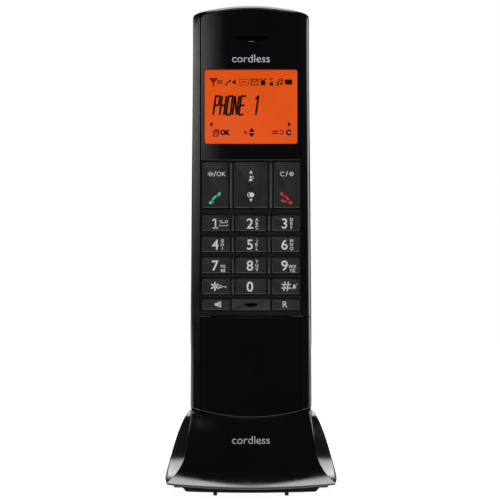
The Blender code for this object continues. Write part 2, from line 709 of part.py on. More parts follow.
def cradle_insert(parent):
    cup = cradle_section(0.0, (CRADLE_LOW, COLUMN_TOP - 0.3))
    space = cradle_section(CRADLE_WALL, (CRADLE_FLOOR, COLUMN_TOP + 5))
    slots = gather([box_at(x, 2.3, (-7.3, -2.7), CRADLE_LOW, 5.0) for x in (-CONTACT_X, CONTACT_X)])
    return piece("cradle_insert", cut(cup, space, slots), "matt_black", parent)


def base_contacts(parent):
    """Sprung strips that stand through the cradle's floor and touch the handset's pads."""
    for name, x in (("base_contact_left", -CONTACT_X), ("base_contact_right", CONTACT_X)):
        outline = [(-7.0, -4.9), (-3.0, -4.9), (-3.0, -4.4), (-3.4, -4.4), (-3.9, 1.4), (-4.4, 2.1),
                   (-5.6, 2.1), (-6.1, 1.4), (-6.6, -3.4), (-6.2, -3.4), (-5.7, 1.1), (-5.3, 1.6),
                   (-4.7, 1.6), (-4.3, 1.1), (-3.9, -4.4), (-7.0, -4.4)]
        strip = loft([[(level, y, CRADLE_FLOOR + z) for y, z in outline] for level in (x - 1.8, x + 1.8)])
        piece(name, strip, "gold", parent, smooth=False)


def foot_shell(parent):
    levels = ((FOOT_LOW, 0.9), (FOOT_LOW + 0.4, 0.25), (LIP_TOP, 0.0), (5.6, 0.0), (7.2, 0.0),
              (9.2, 0.0), (12.0, 0.0), (15.0, 0.0), (19.0, 0.0), (23.5, 0.0), (27.5, 0.0), (31.0, 0.0),
              (FOOT_TOP + 1.5, 0.0))
    inside = ((FOOT_LOW - 3, 0.0), (4.4, 0.0), (6.0, 0.0), (8.0, 0.0), (10.5, 0.0), (14.0, 0.0),
              (19.0, 0.0), (24.0, 0.0), (28.8, 0.0))
    shell = cut(foot_form(levels), foot_form(inside, FOOT_WALL, 1.2))
    shell = cut(shell, smile_tool(SMILE_RADIUS))

    half = NICHE_HALF_WIDTH + NICHE_WALL
    niche = box((-half, half), (NICHE_Y - NICHE_WALL, FOOT_BACK + 5),
                (NICHE_LOW - NICHE_WALL, NICHE_HIGH + NICHE_WALL))
    posts = [cylinder((x, y), 3.2, "z", (PLATE_HIGH + GAP, 26.0), 14) for x, y in BASE_SCREWS]
    inner_parts = keep(foot_form(levels, FOOT_WALL / 3), gather([niche] + posts))
    spigot = cradle_section(0.0, (SMILE_LOW - 4.5, SPIGOT_TOP))
    shell = join(shell, inner_parts, spigot)

    niche_space = box((-NICHE_HALF_WIDTH, NICHE_HALF_WIDTH), (NICHE_Y, FOOT_BACK + 5),
                      (NICHE_LOW, NICHE_HIGH))
    spigot_space = cradle_section(1.4, (SMILE_LOW - 10, SPIGOT_TOP + 5))
    middle = (SOCKET_LOW + SOCKET_HIGH) / 2
    holes = [box_at(x, SOCKET_WIDTH / 2 + GAP, (NICHE_Y - 5, NICHE_Y + 2), middle,
                    (SOCKET_HIGH - SOCKET_LOW) / 2 + GAP) for x in (-SOCKET_X, SOCKET_X)]
    threads = [cylinder((x, y), 1.5, "z", (PLATE_HIGH - 1, 12.0), 10) for x, y in BASE_SCREWS]
    return piece("foot_shell", cut(shell, niche_space, spigot_space, gather(holes + threads)),
                 "gloss_black", parent)


def bottom_plate(parent):
    """A tray inside the foot's lower edge, with a smaller step that shows below it."""
    def ring(z, inset):
        return [(x, y, z) for x, y in foot_outline(LIP_TOP, inset, 7)]

    tray = loft([ring(PLATE_LOW, 8.0), ring(PLATE_LOW + 0.5, 7.2), ring(PLATE_STEP, 4.8),
                 ring(PLATE_STEP, 3.6), ring(PLATE_HIGH, 3.6)])
    heads = [cylinder((x, y), 2.9, "z", (PLATE_LOW - 2, PLATE_LOW + 1.6), 14) for x, y in BASE_SCREWS]
    shanks = [cylinder((x, y), 1.7, "z", (PLATE_LOW - 2, PLATE_HIGH + 2), 10) for x, y in BASE_SCREWS]
    recesses = [foot_pad(x, y, (PLATE_LOW - 2, PLATE_LOW + 0.8), GAP) for x, y in FRONT_FEET + REAR_FEET]
    tray = cut(tray, gather(heads + recesses), gather(shanks))
    return piece("bottom_plate", tray, "matt_black", parent)


def base_board(parent):
    board = box((-BOARD_HALF_WIDTH, BOARD_HALF_WIDTH), (-12.0, NICHE_Y - NICHE_WALL - 0.5),
                (BASE_PCB_LOW, BASE_PCB_LOW + PCB_THICKNESS))
    return piece("base_board", board, "board_green", parent, smooth=False)


def sockets(parent):
    """Two modular sockets on the board, opening into the niche at the rear."""
    for name, x in (("line_socket", SOCKET_X), ("power_socket", -SOCKET_X)):
        body = box((x - SOCKET_WIDTH / 2, x + SOCKET_WIDTH / 2), (13.0, NICHE_Y - 0.1),
                   (SOCKET_LOW, SOCKET_HIGH))
        throat = box((x - 4.9, x + 4.9), (15.0, NICHE_Y + 3), (SOCKET_LOW + 1.9, SOCKET_LOW + 8.7))
        latch = box((x - 1.7, x + 1.7), (17.0, NICHE_Y + 3), (SOCKET_LOW + 8.5, SOCKET_LOW + 10.1))
        piece(name, cut(body, join(throat, latch)), "socket_grey", parent, smooth=False)


def page_parts(parent):
    button = loft_round((0.0, PAGE_HEIGHT), ((4.4, 3.0), (5.6, 3.0), (5.6, PAGE_RADIUS),
                                             (BACK + 0.7, PAGE_RADIUS), (BACK + 1.1, PAGE_RADIUS - 0.6)))
    piece("page_button", button, "key_grey", parent, (0.0, BACK, PAGE_HEIGHT))
    board = box((-8.0, 8.0), (0.6, 1.8), (SPIGOT_TOP + 0.8, CRADLE_LOW - 0.8))
    piece("page_switch_board", board, "board_green", parent, smooth=False)


def foot_pad(x, y, span, margin=0.0):
    """A runner where the feet are narrow, or a round pad, with a margin when it is the recess for one."""
    if (x, y) in REAR_FEET:
        half_x = half_y = radius = FOOT_PAD_RADIUS + margin
    else:
        half_x = radius = RUNNER_HALF_WIDTH + margin
        half_y = RUNNER_HALF_LENGTH + margin
    outline = rounded_rectangle((x - half_x, y - half_y), (x + half_x, y + half_y), (radius * 0.98,) * 4, 4)
    return loft([[(px, py, z) for px, py in outline] for z in span])


def feet(parent):
    names = ("foot_pad_front_left", "foot_pad_front_right", "foot_pad_rear_left", "foot_pad_rear_right")
    for name, (x, y) in zip(names, FRONT_FEET + REAR_FEET):
        piece(name, foot_pad(x, y, (0.0, PLATE_LOW + 0.5)), "rubber_black", parent)


def base_screws(parent):
    names = ("base_screw_front_left", "base_screw_front_right", "base_screw_rear_left",
             "base_screw_rear_right")
    steps = ((PLATE_LOW + 0.3, 1.9), (PLATE_LOW + 0.6, SCREW_HEAD_RADIUS),
             (PLATE_LOW + 1.3, SCREW_HEAD_RADIUS),
             (PLATE_LOW + 1.3, SCREW_SHANK_RADIUS), (11.5, SCREW_SHANK_RADIUS))
    for name, (x, y) in zip(names, BASE_SCREWS):
        screw = turned((x, y), steps, 12)
        slot = box((x - 1.4, x + 1.4), (y - 0.3, y + 0.3), (-1.0, PLATE_LOW + 0.9))
        piece(name, cut(screw, slot), "steel", parent)


# ---------------------------------------------------------------- the whole phone

def build_handset(phone):
    handset = empty("handset", (0.0, (FRONT + BACK) / 2, SEAM), phone)
    front_housing(handset)
    rear_housing(handset)
    front_panel(handset)
    display_window(handset)
    keypad_frame(handset)
    keypad_mat(handset)
    for name, x, z, width, height in push_keys():
        push_key(name, x, z, width, height, handset)
    for name, x, width in rocker_columns():
        rocker_key(name, x, width, handset)
    handset_board(handset)
    lcd_module(handset)
    sound_parts(handset)
    batteries(handset)
    battery_door(handset)
    handset_contacts(handset)
    case_screws(handset)


def build_base(phone):
    base = empty("base", (0.0, 0.0, 0.0), phone)
    column_shell(base)
    column_panel(base)
    cradle_insert(base)
    base_contacts(base)
    foot_shell(base)
    bottom_plate(base)
    base_board(base)
    sockets(base)
    page_parts(base)
    feet(base)
    base_screws(base)


remove_everything()
phone = empty("phone", (0.0, 0.0, 0.0))
build_handset(phone)
build_base(phone)
phone.location.y = -(FOOT_NOSE + FOOT_BACK) / 2 * MM      # the origin is under the middle of the foot
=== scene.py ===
"""Looks of the cordless phone with base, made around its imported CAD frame.

Lengths in this script are millimetres, and MM turns them into metres when a mesh is made. The front
faces -Y, +X is to the right and +Z is up. Places come from the boxes of the CAD nodes.
"""

from math import acos, asin, atan2, cos, degrees, pi, radians, sin, sqrt

import bmesh
import bpy
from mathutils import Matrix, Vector


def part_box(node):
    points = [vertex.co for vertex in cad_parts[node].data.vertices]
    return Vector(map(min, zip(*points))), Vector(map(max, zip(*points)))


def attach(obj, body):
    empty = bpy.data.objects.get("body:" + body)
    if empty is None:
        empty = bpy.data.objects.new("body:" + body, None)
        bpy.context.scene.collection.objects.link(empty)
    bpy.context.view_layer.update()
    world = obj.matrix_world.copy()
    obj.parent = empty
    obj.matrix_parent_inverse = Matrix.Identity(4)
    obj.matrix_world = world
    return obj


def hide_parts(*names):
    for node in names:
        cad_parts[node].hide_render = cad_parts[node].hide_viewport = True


MM = 0.001

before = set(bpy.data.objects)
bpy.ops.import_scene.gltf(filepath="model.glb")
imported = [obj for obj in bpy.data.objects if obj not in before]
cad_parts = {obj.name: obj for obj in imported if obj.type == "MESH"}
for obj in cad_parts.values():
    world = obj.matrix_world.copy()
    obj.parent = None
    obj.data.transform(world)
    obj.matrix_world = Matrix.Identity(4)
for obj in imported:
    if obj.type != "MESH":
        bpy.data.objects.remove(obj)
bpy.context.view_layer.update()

# This script's own y axis runs from the tower's axis; OFFSET leads from there to the frame's origin
BACK = 8.0
OFFSET = Vector((0.0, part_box("column_shell")[1][1] / MM - BACK, 0.0))


def span(node):
    """The lowest and highest corners of a CAD node, in millimetres."""
    low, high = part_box(node)
    return Vector(low) / MM - OFFSET, Vector(high) / MM - OFFSET


def centre(node):
    low, high = span(node)
    return (low + high) / 2


# ---------------------------------------------------------------- pieces named in the frame

PUSH_KEYS = tuple("key_" + label for label in ("1", "2", "3", "4", "5", "6", "7", "8", "9", "star", "0", "hash",
                                               "speaker", "recall"))
ROCKERS = ("menu_talk_key", "up_down_key", "cancel_end_key")
CASE_SCREWS = ("case_screw_left", "case_screw_right")
SOCKETS = ("line_socket", "power_socket")
FEET, BASE_SCREWS = ([kind + place for place in ("front_left", "front_right", "rear_left", "rear_right")]
                     for kind in ("foot_pad_", "base_screw_"))

# ---------------------------------------------------------------- dimensions read from the frame

GAP = 0.3                                   # what the CAD leaves between neighbours
HOUSING_LOW, HOUSING_HIGH = span("handset_front_housing")
REAR_LOW = span("handset_rear_housing")[0]
PANEL_LOW, PANEL_HIGH = span("front_panel")
WINDOW_LOW, WINDOW_HIGH = span("display_window")
KEYPAD_LOW, KEYPAD_HIGH = span("keypad_frame")
COLUMN_HIGH = span("column_shell")[1]
COLUMN_PANEL_LOW, COLUMN_PANEL_HIGH = span("column_panel")
FOOT_LOW, FOOT_HIGH = span("foot_shell")
TRAY_LOW, TRAY_HIGH = span("bottom_plate")
CRADLE_LOW, CRADLE_HIGH = span("cradle_insert")
DOOR_LOW, DOOR_HIGH = span("battery_door")

TOP = HOUSING_HIGH.z
SEAM = HOUSING_LOW.z - GAP / 2
FRONT = HOUSING_LOW.y
SPLIT = HOUSING_HIGH.y + GAP / 2
SEAM_HALF_WIDTH = HOUSING_HIGH.x
REAR_PARTING = SPLIT + GAP / 2
PANEL_HALF_WIDTH = PANEL_HIGH.x
POCKET_BACK = PANEL_HIGH.y + GAP
PANEL_FACE = PANEL_LOW.y + 0.2              # at the panel's sides; its middle swells forward of this
KEY_FRONT = span("key_5")[0].y
SPEAKER_HEIGHT = centre("loudspeaker").z

# ---------------------------------------------------------------- shape that the boxes don't tell

TOP_HALF_WIDTH = 23.9
FOOT_END_HALF_WIDTH = COLUMN_HIGH.x
TAPER_TOP = 178.0
CROWN_RADIUS = 82.0
CORNER_RADIUS = 1.9
RAIL_RADIUS = 4.0
REAR_RADIUS = 8.0
BULGE = 0.5                                 # how far the glossy fronts swell in the middle
GROOVE = 0.12                               # what the groove beside them is wider than the gap
EAR_HALF_WIDTH = 7.6
EAR_HEIGHT = 186.6
CAP_DEPTH = 1.7                             # a cap pressed fully in stops 0.1 short of the wall behind
SEAM_RISE = 0.15                            # the column's skin closes half of the gap below the handset
INK = 0.03                                  # thickness of a printed mark

SMILE_RADIUS = 79.0                         # the curved seam between column and foot
SMILE_LOW = 31.4
FLARE_TOP = 34.0
LIP_TOP = 4.4
FOOT_WALL = 2.0

# Distance from the tower's front and widening of a recess's edge there
POCKET_EDGE = ((0.42, 0.0), (0.22, 0.05), (-0.05, 0.22), (-1.0, 1.2))

# Strengths of the soft boxes in the studio's light
LEFT_LIGHT, RIGHT_LIGHT, TOP_LIGHT, TABLE = 3.4, 4.0, 9.5, 2.2
SIDE_GLEAM, HORIZON, AMBIENT = 0.4, 1.9, 0.035


# ---------------------------------------------------------------- solids, in millimetres

def arc(centre, radius, start, end, steps):
    """Points on an arc, in degrees, both ends included."""
    angles = [radians(start + (end - start) * step / steps) for step in range(steps + 1)]
    return [(centre[0] + radius * cos(angle), centre[1] + radius * sin(angle)) for angle in angles]


def at_y(outline, y):
    """An outline seen from the front, as a ring at y."""
    return [(x, y, z) for x, z in outline]


def at_z(outline, z):
    """An outline seen from above, as a ring at z."""
    return [(x, y, z) for x, y in outline]


def loft(rings, closed=False):
    """A closed solid through rings of points, each ring with the same number of points.

    The end rings are capped, or, if closed, the last ring leads back to the first as in a tube's wall.
    """
    solid = bmesh.new()
    loops = [[solid.verts.new(point) for point in ring] for ring in rings]
    for lower, upper in zip(loops, loops[1:] + loops[:1] if closed else loops[1:]):
        for index in range(len(lower)):
            following = (index + 1) % len(lower)
            solid.faces.new((lower[index], lower[following], upper[following], upper[index]))
    if not closed:
        solid.faces.new(loops[0])
        solid.faces.new(loops[-1])
    bmesh.ops.recalc_face_normals(solid, faces=solid.faces)
    if solid.calc_volume(signed=True) < 0:
        bmesh.ops.reverse_faces(solid, faces=solid.faces)
    return solid


def box(x, y, z):
    return loft([at_z(((x[0], y[0]), (x[1], y[0]), (x[1], y[1]), (x[0], y[1])), level) for level in z])


def rounded_rectangle(low, high, radii, steps=8, grow=0.0):
    """Outline between two corners, grown on all sides.

    radii is one radius, or one for each corner: low-left, low-right, high-right, high-left.
    """
    left, bottom, right, top = low[0] - grow, low[1] - grow, high[0] + grow, high[1] + grow
    corners = ((left, bottom, 1, 1, 180), (right, bottom, -1, 1, 270),
               (right, top, -1, -1, 0), (left, top, 1, -1, 90))
    outline = []
    for index, (x, y, inward_x, inward_y, start) in enumerate(corners):
        radius = radii[index] if isinstance(radii, tuple) else radii
        outline += arc((x + inward_x * radius, y + inward_y * radius), radius, start, start + 90, steps)
    return outline


def front_corners(name):
    """A CAD node's lowest and highest corners as seen from the front, each (x, z)."""
    low, high = span(name)
    return (low.x, low.z), (high.x, high.z)


def slab(low, high, levels, steps=8):
    """A block between two (x, z) corners, through levels of (y, growth, corner radius)."""
    return loft([at_y(rounded_rectangle(low, high, radius, steps, grow), y) for y, grow, radius in levels])


def rounding(distance, radius):
    """How far a rounded edge has drawn in at a distance from its end plane."""
    reach = max(radius - distance, 0.0)
    return radius - sqrt(radius * radius - reach * reach)


def round_levels(radius, steps):
    """Distances from the end plane that space the points of a rounded edge evenly."""
    return [radius * (1 - cos(pi / 2 * step / steps)) for step in range(steps + 1)]


def lens(x, z, half, rise, sag):
    """A pointed slot seen from the front, arched above by rise and hollowed below by sag."""
    def bow(depth, start, end):
        radius = (half * half + depth * depth) / (2 * depth)
        reach = degrees(asin(half / radius))
        middle = z - radius + depth if start > 0 else z + radius - depth
        turn = 90 if start > 0 else 270
        return arc((x, middle), radius, turn + start * reach, turn + end * reach, 24)

    return bow(sag, -1, 1) + bow(rise, 1, -1)[::-1][1:-1]


def plate_xz(outline, y):
    """An outline seen from the front, made into a plate between two y values."""
    return loft([at_y(outline, level) for level in y])


def round_y(middle, steps, sides=48):
    """A stepped round part about an axis along y, from (y, radius) pairs."""
    return loft([at_y(arc(middle, radius, 0, 360, sides)[:-1], y) for y, radius in steps])


def round_z(middle, steps):
    """A stepped round part about a vertical axis, from (z, radius) pairs."""
    return loft([at_z(arc(middle, radius, 0, 360, 48)[:-1], z) for z, radius in steps])


def gather(solids):
    """Several solids held in one mesh."""
    merged = bmesh.new()
    for solid in solids:
        mesh = bpy.data.meshes.new("temporary")
        solid.to_mesh(mesh)
        solid.free()
        merged.from_mesh(mesh)
        bpy.data.meshes.remove(mesh)
    return merged


def place_in_scene(name, data):
    made = bpy.data.objects.new(name, data)
    bpy.context.scene.collection.objects.link(made)
    return made


def boolean(solid, tool, operation):
    """The solid changed by the tool; both are used up."""
    holders = []
    for part in (solid, tool):
        mesh = bpy.data.meshes.new("temporary")
        part.to_mesh(mesh)
        part.free()
        holders.append(place_in_scene("temporary", mesh))
    modifier = holders[0].modifiers.new("boolean", "BOOLEAN")
    modifier.operation = operation
    modifier.solver = "EXACT"
    modifier.object = holders[1]
    result = bmesh.new()
    result.from_object(holders[0], bpy.context.evaluated_depsgraph_get())
    for holder in holders:
        mesh = holder.data
        bpy.data.objects.remove(holder)
        bpy.data.meshes.remove(mesh)
    bmesh.ops.remove_doubles(result, verts=result.verts, dist=0.0005)
    return result


def cut(solid, *tools):
    for tool in tools:
        solid = boolean(solid, tool, "DIFFERENCE")
    return solid


def joined(solid, *tools):
    for tool in tools:
        solid = boolean(solid, tool, "UNION")
    return solid


def show(name, solid, look, body, replaces=None, sharp=32.0):
    """A solid in millimetres becomes a piece that rides on a body and may stand for a CAD node."""
    for vert in solid.verts:
        vert.co = (vert.co + OFFSET) * MM
    mesh = bpy.data.meshes.new(name)
    solid.to_mesh(mesh)
    solid.free()
    mesh.shade_smooth()
    mesh.set_sharp_from_angle(angle=radians(sharp))
    mesh.materials.append(look)
    made = place_in_scene(name, mesh)
    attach(made, body)
    if replaces:
        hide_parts(replaces)


# ---------------------------------------------------------------- materials

def fill(made, **values):
    """Sets a node's properties or unlinked inputs by name, with _ for each space."""
    for key, value in values.items():
        if hasattr(made, key):
            setattr(made, key, value)
        else:
            made.inputs[key.replace("_", " ")].default_value = value
    return made


def node(tree, kind, **values):
    return fill(tree.nodes.new("ShaderNode" + kind), **values)


def feed(tree, socket, value):
    """Sets a socket's value, or links it where the value is a socket too."""
    if isinstance(value, bpy.types.NodeSocket):
        tree.links.new(value, socket)
    else:
        socket.default_value = value


def principled(name):
    """A new material, its node tree and its shader."""
    made = bpy.data.materials.new(name)
    made.use_nodes = True
    return made, made.node_tree, made.node_tree.nodes["Principled BSDF"]


def shade(colour, factor=1.0, lift=0.0):
    """A colour made darker or paler, and opaque."""
    return (*(min(channel * factor + lift, 1.0) for channel in colour), 1.0)


def number(tree, operation, first, second=None):
    """A math node's result; each side is a socket or a number."""
    made = node(tree, "Math", operation=operation)
    feed(tree, made.inputs[0], first)
    if second is not None:
        feed(tree, made.inputs[1], second)
    return made.outputs["Value"]


def grain(tree, coordinates, scale, detail, stretch=(1.0, 1.0, 1.0)):
    """Noise at a scale in features per metre, stretched if asked; returns its value socket."""
    mapping = node(tree, "Mapping", Scale=stretch)
    noise = node(tree, "TexNoise", Scale=scale, Detail=detail)
    tree.links.new(coordinates, mapping.inputs["Vector"])
    tree.links.new(mapping.outputs["Vector"], noise.inputs["Vector"])
    return noise.outputs["Fac"]


def ranged(tree, value, low, high, start=0.3, end=0.7, **how):
    """A value between two limits turned into a range of its own."""
    made = node(tree, "MapRange", From_Min=start, From_Max=end, To_Min=low, To_Max=high, **how)
    tree.links.new(value, made.inputs["Value"])
    return made.outputs["Result"]


def mixed(tree, factor, first, second, blend="MIX"):
    """A colour between two colours; each of the three may be a socket."""
    made = node(tree, "Mix", data_type="RGBA", blend_type=blend)
    feed(tree, made.inputs["Factor"], factor)
    for socket, colour in zip([entry for entry in made.inputs if entry.type == "RGBA"], (first, second)):
        feed(tree, socket, colour)
    return [entry for entry in made.outputs if entry.type == "RGBA"][0]


def surface(name, colour, roughness, spread=0.06, vary=0.25, metallic=0.0, texture=1800.0, bump=0.02,
            wear=0.0, scratches=0.0, specular=0.5, stretch=(1.0, 1.0, 1.0)):
    """A procedural plastic, rubber or metal.

    colour and vary: base colour and how far it strays; roughness and spread: gloss and how it wanders;
    texture and bump: features per metre of the moulded skin and how deep; wear: how much edges pale;
    scratches: how strongly fine handling marks dull the gloss.
    """
    made, tree, shader = principled(name)
    place = node(tree, "TexCoord").outputs["Object"]
    broad = grain(tree, place, 45.0, 5.0)
    fine = grain(tree, place, texture, 6.0, stretch)

    darker, paler = shade(colour, 1 - vary), shade(colour, 1 + vary)
    tint = mixed(tree, ranged(tree, broad, 0.0, 1.0), darker, paler)
    tint = mixed(tree, ranged(tree, fine, 0.0, 0.35), tint, paler)
    if wear:
        edge = node(tree, "NewGeometry").outputs["Pointiness"]
        tint = mixed(tree, ranged(tree, edge, 0.0, wear, 0.52, 0.62), tint, shade(colour, 2.2, 0.02))

    gloss = ranged(tree, grain(tree, place, 160.0, 3.0), roughness - spread / 2, roughness + spread)
    if scratches:
        marks = grain(tree, place, 900.0, 2.0, (1.0, 1.0, 0.04))
        gloss = number(tree, "ADD", gloss, ranged(tree, marks, 0.0, scratches, 0.60, 0.72))

    relief = node(tree, "Bump", Strength=bump, Distance=0.0002)
    tree.links.new(fine, relief.inputs["Height"])
    tree.links.new(tint, shader.inputs["Base Color"])
    tree.links.new(gloss, shader.inputs["Roughness"])
    tree.links.new(relief.outputs["Normal"], shader.inputs["Normal"])
    fill(shader, Metallic=metallic, Specular_IOR_Level=specular)
    return made


def ink(name, colour, roughness, vary=0.08):
    return surface(name + "_ink", colour, roughness, spread=0.08, vary=vary, bump=0.05, texture=6000.0)


def glowing(name, colour, base):
    """The lit display: an even orange glow with a faint pattern of cells."""
    made, tree, shader = principled(name)
    place = node(tree, "TexCoord").outputs["Object"]
    uneven = ranged(tree, grain(tree, place, 35.0, 2.0), 0.0, 1.0)
    glow = mixed(tree, uneven, shade(colour, 0.86), shade(colour))
    white = (1.0, 1.0, 1.0)
    cells = node(tree, "TexBrick", Scale=1000.0, offset=0.0, Mortar_Size=0.03, Brick_Width=0.35,
                 Row_Height=0.35, Color1=shade(white), Color2=shade(white, 0.97),
                 Mortar=shade(white, 0.90))
    turned = node(tree, "Mapping", Rotation=(pi / 2, 0.0, 0.0))
    tree.links.new(place, turned.inputs["Vector"])
    tree.links.new(turned.outputs["Vector"], cells.inputs["Vector"])
    tree.links.new(mixed(tree, 1.0, glow, cells.outputs["Color"], "MULTIPLY"), shader.inputs["Emission Color"])
    fill(shader, Emission_Strength=1.0, Base_Color=shade(base), Roughness=0.35, Specular_IOR_Level=0.15)
    return made


GLOSS = surface("gloss_black_plastic", (0.0030, 0.0030, 0.0035), 0.09, spread=0.03, bump=0.012, wear=0.25,
                scratches=0.06)
PANEL = surface("panel_black_gloss", (0.0022, 0.0022, 0.0026), 0.05, spread=0.02, bump=0.006, texture=900.0,
                scratches=0.05)
KEYS = surface("key_satin_grey", (0.0085, 0.0087, 0.0092), 0.34, spread=0.10, vary=0.16, bump=0.10,
               texture=5200.0, wear=0.5, specular=0.36)
RIBS = surface("rib_satin_grey", (0.014, 0.0144, 0.0155), 0.34, spread=0.10, vary=0.14, bump=0.08,
               texture=5200.0, wear=0.5)
BEZEL = surface("bezel_black", (0.0022, 0.0022, 0.0025), 0.30, spread=0.08, bump=0.05, texture=3200.0,
                wear=0.1, specular=0.2)
MATT = surface("matt_black_plastic", (0.010, 0.010, 0.011), 0.55, spread=0.12, bump=0.12, texture=4200.0,
               wear=0.3)
# A darker, duller copy of the matt black: painted shade for the tray under the foot and for the receiver and
# microphone deep in their slots
SHADED_BLACK = surface("underside_painted_shade_black", (0.0018, 0.0018, 0.0020), 0.55, spread=0.12, bump=0.12, texture=4200.0,
                specular=0.05)
RUBBER = surface("rubber_black", (0.005, 0.005, 0.005), 0.80, spread=0.12, bump=0.25, texture=5000.0,
                 specular=0.2)
SILICONE = surface("silicone_grey", (0.16, 0.16, 0.17), 0.60, bump=0.10, texture=3000.0)
STEEL = surface("plated_steel", (0.56, 0.56, 0.58), 0.26, spread=0.10, vary=0.12, metallic=1.0, bump=0.06,
                texture=2600.0, stretch=(1.0, 1.0, 0.1))
GOLD = surface("plated_gold", (0.80, 0.56, 0.22), 0.24, spread=0.10, vary=0.10, metallic=1.0, bump=0.04)
BOARD = surface("board_green", (0.012, 0.11, 0.045), 0.42, spread=0.12, bump=0.10, texture=2400.0)
CELL = surface("cell_sleeve", (0.03, 0.20, 0.09), 0.30, spread=0.08, bump=0.04)
LCD_METAL = surface("lcd_frame_metal", (0.50, 0.51, 0.53), 0.34, spread=0.10, metallic=0.9, bump=0.05)
SOCKET = surface("socket_grey", (0.020, 0.020, 0.022), 0.46, spread=0.10, bump=0.10, texture=3600.0)
WHITE_INK = ink("white", (0.62, 0.62, 0.63), 0.50, 0.05)
WORD_INK = ink("word", (0.46, 0.48, 0.55), 0.40, 0.05)
GREY_INK = ink("grey", (0.52, 0.52, 0.54), 0.50)
GREEN_INK = ink("green", (0.07, 0.46, 0.24), 0.45)
RED_INK = ink("red", (0.52, 0.013, 0.020), 0.45)
LCD_INK = surface("lcd_mark", (0.012, 0.002, 0.001), 0.45, spread=0.08, vary=0.15, bump=0.02, specular=0.1)
GLOW = glowing("display_glow", (0.76, 0.086, 0.007), (0.02, 0.004, 0.001))


# ---------------------------------------------------------------- outlines of the tower

def half_width(z):
    """Half the tower's width: parallel at the top, then widening slowly to the foot."""
    if z >= TAPER_TOP:
        return TOP_HALF_WIDTH
    if z >= SEAM:
        share = (TAPER_TOP - z) / (TAPER_TOP - SEAM)
        return TOP_HALF_WIDTH + share * (SEAM_HALF_WIDTH - TOP_HALF_WIDTH)
    share = (SEAM - z) / (SEAM - SMILE_LOW)
    return SEAM_HALF_WIDTH + share * (FOOT_END_HALF_WIDTH - SEAM_HALF_WIDTH)


def section(half, front, back, front_radius, rear_radius, steps):
    """The tower's plan, seen from above."""
    radii = (front_radius, front_radius, rear_radius, rear_radius)
    return rounded_rectangle((-half, front), (half, back), radii, steps)


def arch(half_at, inset, corner, low):
    """Front view of the handset's edge, from the bottom right over the crown to the bottom left.

    half_at gives the half width at a height, and inset lowers the crown.
    """
    crown_steps, corner_steps, side_steps = 40, 10, 24
    radius = CROWN_RADIUS - inset
    centre_z = TOP - CROWN_RADIUS
    corner_x = half_at(TOP) - corner
    corner_z = centre_z + sqrt((radius - corner) ** 2 - corner_x ** 2)
    lean = degrees(acos(corner_x / (radius - corner)))
    heights = [low + (corner_z - low) * step / side_steps for step in range(side_steps)]
    side = [(half_at(z), z) for z in heights]
    right = side + arc((corner_x, corner_z), corner, 0, lean, corner_steps)
    crown = arc((0.0, centre_z), radius, lean, 180 - lean, crown_steps)[1:-1]
    return right + crown + [(-x, z) for x, z in reversed(right)]


def pocket_levels(back):
    """Levels of (y, widening) for the recess of a glossy front, from its floor out past the tower."""
    return [(back, 0.0)] + [(FRONT + distance, flare) for distance, flare in POCKET_EDGE]


def smile(x, radius=SMILE_RADIUS):
    """Height of the curved seam between column and foot."""
    return SMILE_LOW + SMILE_RADIUS - sqrt(radius * radius - x * x)


# ---------------------------------------------------------------- handset casings

def casing(levels, plane, parting, side_radius, crown_inset):
    """Half of the handset's outside: rings at distances from its front or rear plane, and its soft rim."""
    toward, rim = (1 if parting > plane else -1), 0.18
    slices = [(plane + toward * distance, rounding(distance, side_radius), crown_inset(distance))
              for distance in levels]
    slices += [(parting - toward * lift, inset, inset)
               for lift, inset in ((rim, 0.0), (rim / 3, rim / 3), (0.0, rim))]
    return loft([at_y(arch(lambda z: half_width(z) - side, crown, CORNER_RADIUS, HOUSING_LOW.z), y)
                 for y, side, crown in slices])


def hollow_between(front, back, front_radius, rear_radius):
    """The space inside a casing, closed at the bottom by the casing's floor."""
    wall = 1.8
    return loft([at_z(section(half_width(z) - wall, front, back, front_radius, rear_radius, 5), z)
                 for z in (SEAM + wall, TAPER_TOP, TOP - 5.5)])


def front_housing():
    levels = sorted(round_levels(RAIL_RADIUS, 14) + [0.6, 0.66])
    shell = casing(levels, FRONT, HOUSING_HIGH.y, RAIL_RADIUS,
                   lambda distance: 1.25 * max(0.64 - distance, 0.0))
    pocket = loft([at_y(arch(lambda _: PANEL_HALF_WIDTH + GAP + flare, 0.85 - flare * 0.6, 1.6, SEAM - 5), y)
                   for y, flare in pocket_levels(POCKET_BACK)])
    wall_back = POCKET_BACK + 1.5
    through, frame_width, ear_half_height = (FRONT - 5, wall_back + 1), 1.2, 1.4
    window = box((WINDOW_LOW.x + frame_width, WINDOW_HIGH.x - frame_width), through,
                 (WINDOW_LOW.z + frame_width, WINDOW_HIGH.z - frame_width))
    keys_hole = box((-19.0, 19.0), through, (SEAM + 2.4, PANEL_LOW.z - 1.0))
    ear = box((-EAR_HALF_WIDTH, EAR_HALF_WIDTH), through,
              (EAR_HEIGHT - ear_half_height, EAR_HEIGHT + ear_half_height))
    hollow = hollow_between(wall_back, SPLIT + 12, 1.5, 2.0)
    shell = cut(shell, pocket, hollow, gather([window, keys_hole, ear]))
    show("front_shell", shell, GLOSS, "handset", "handset_front_housing")


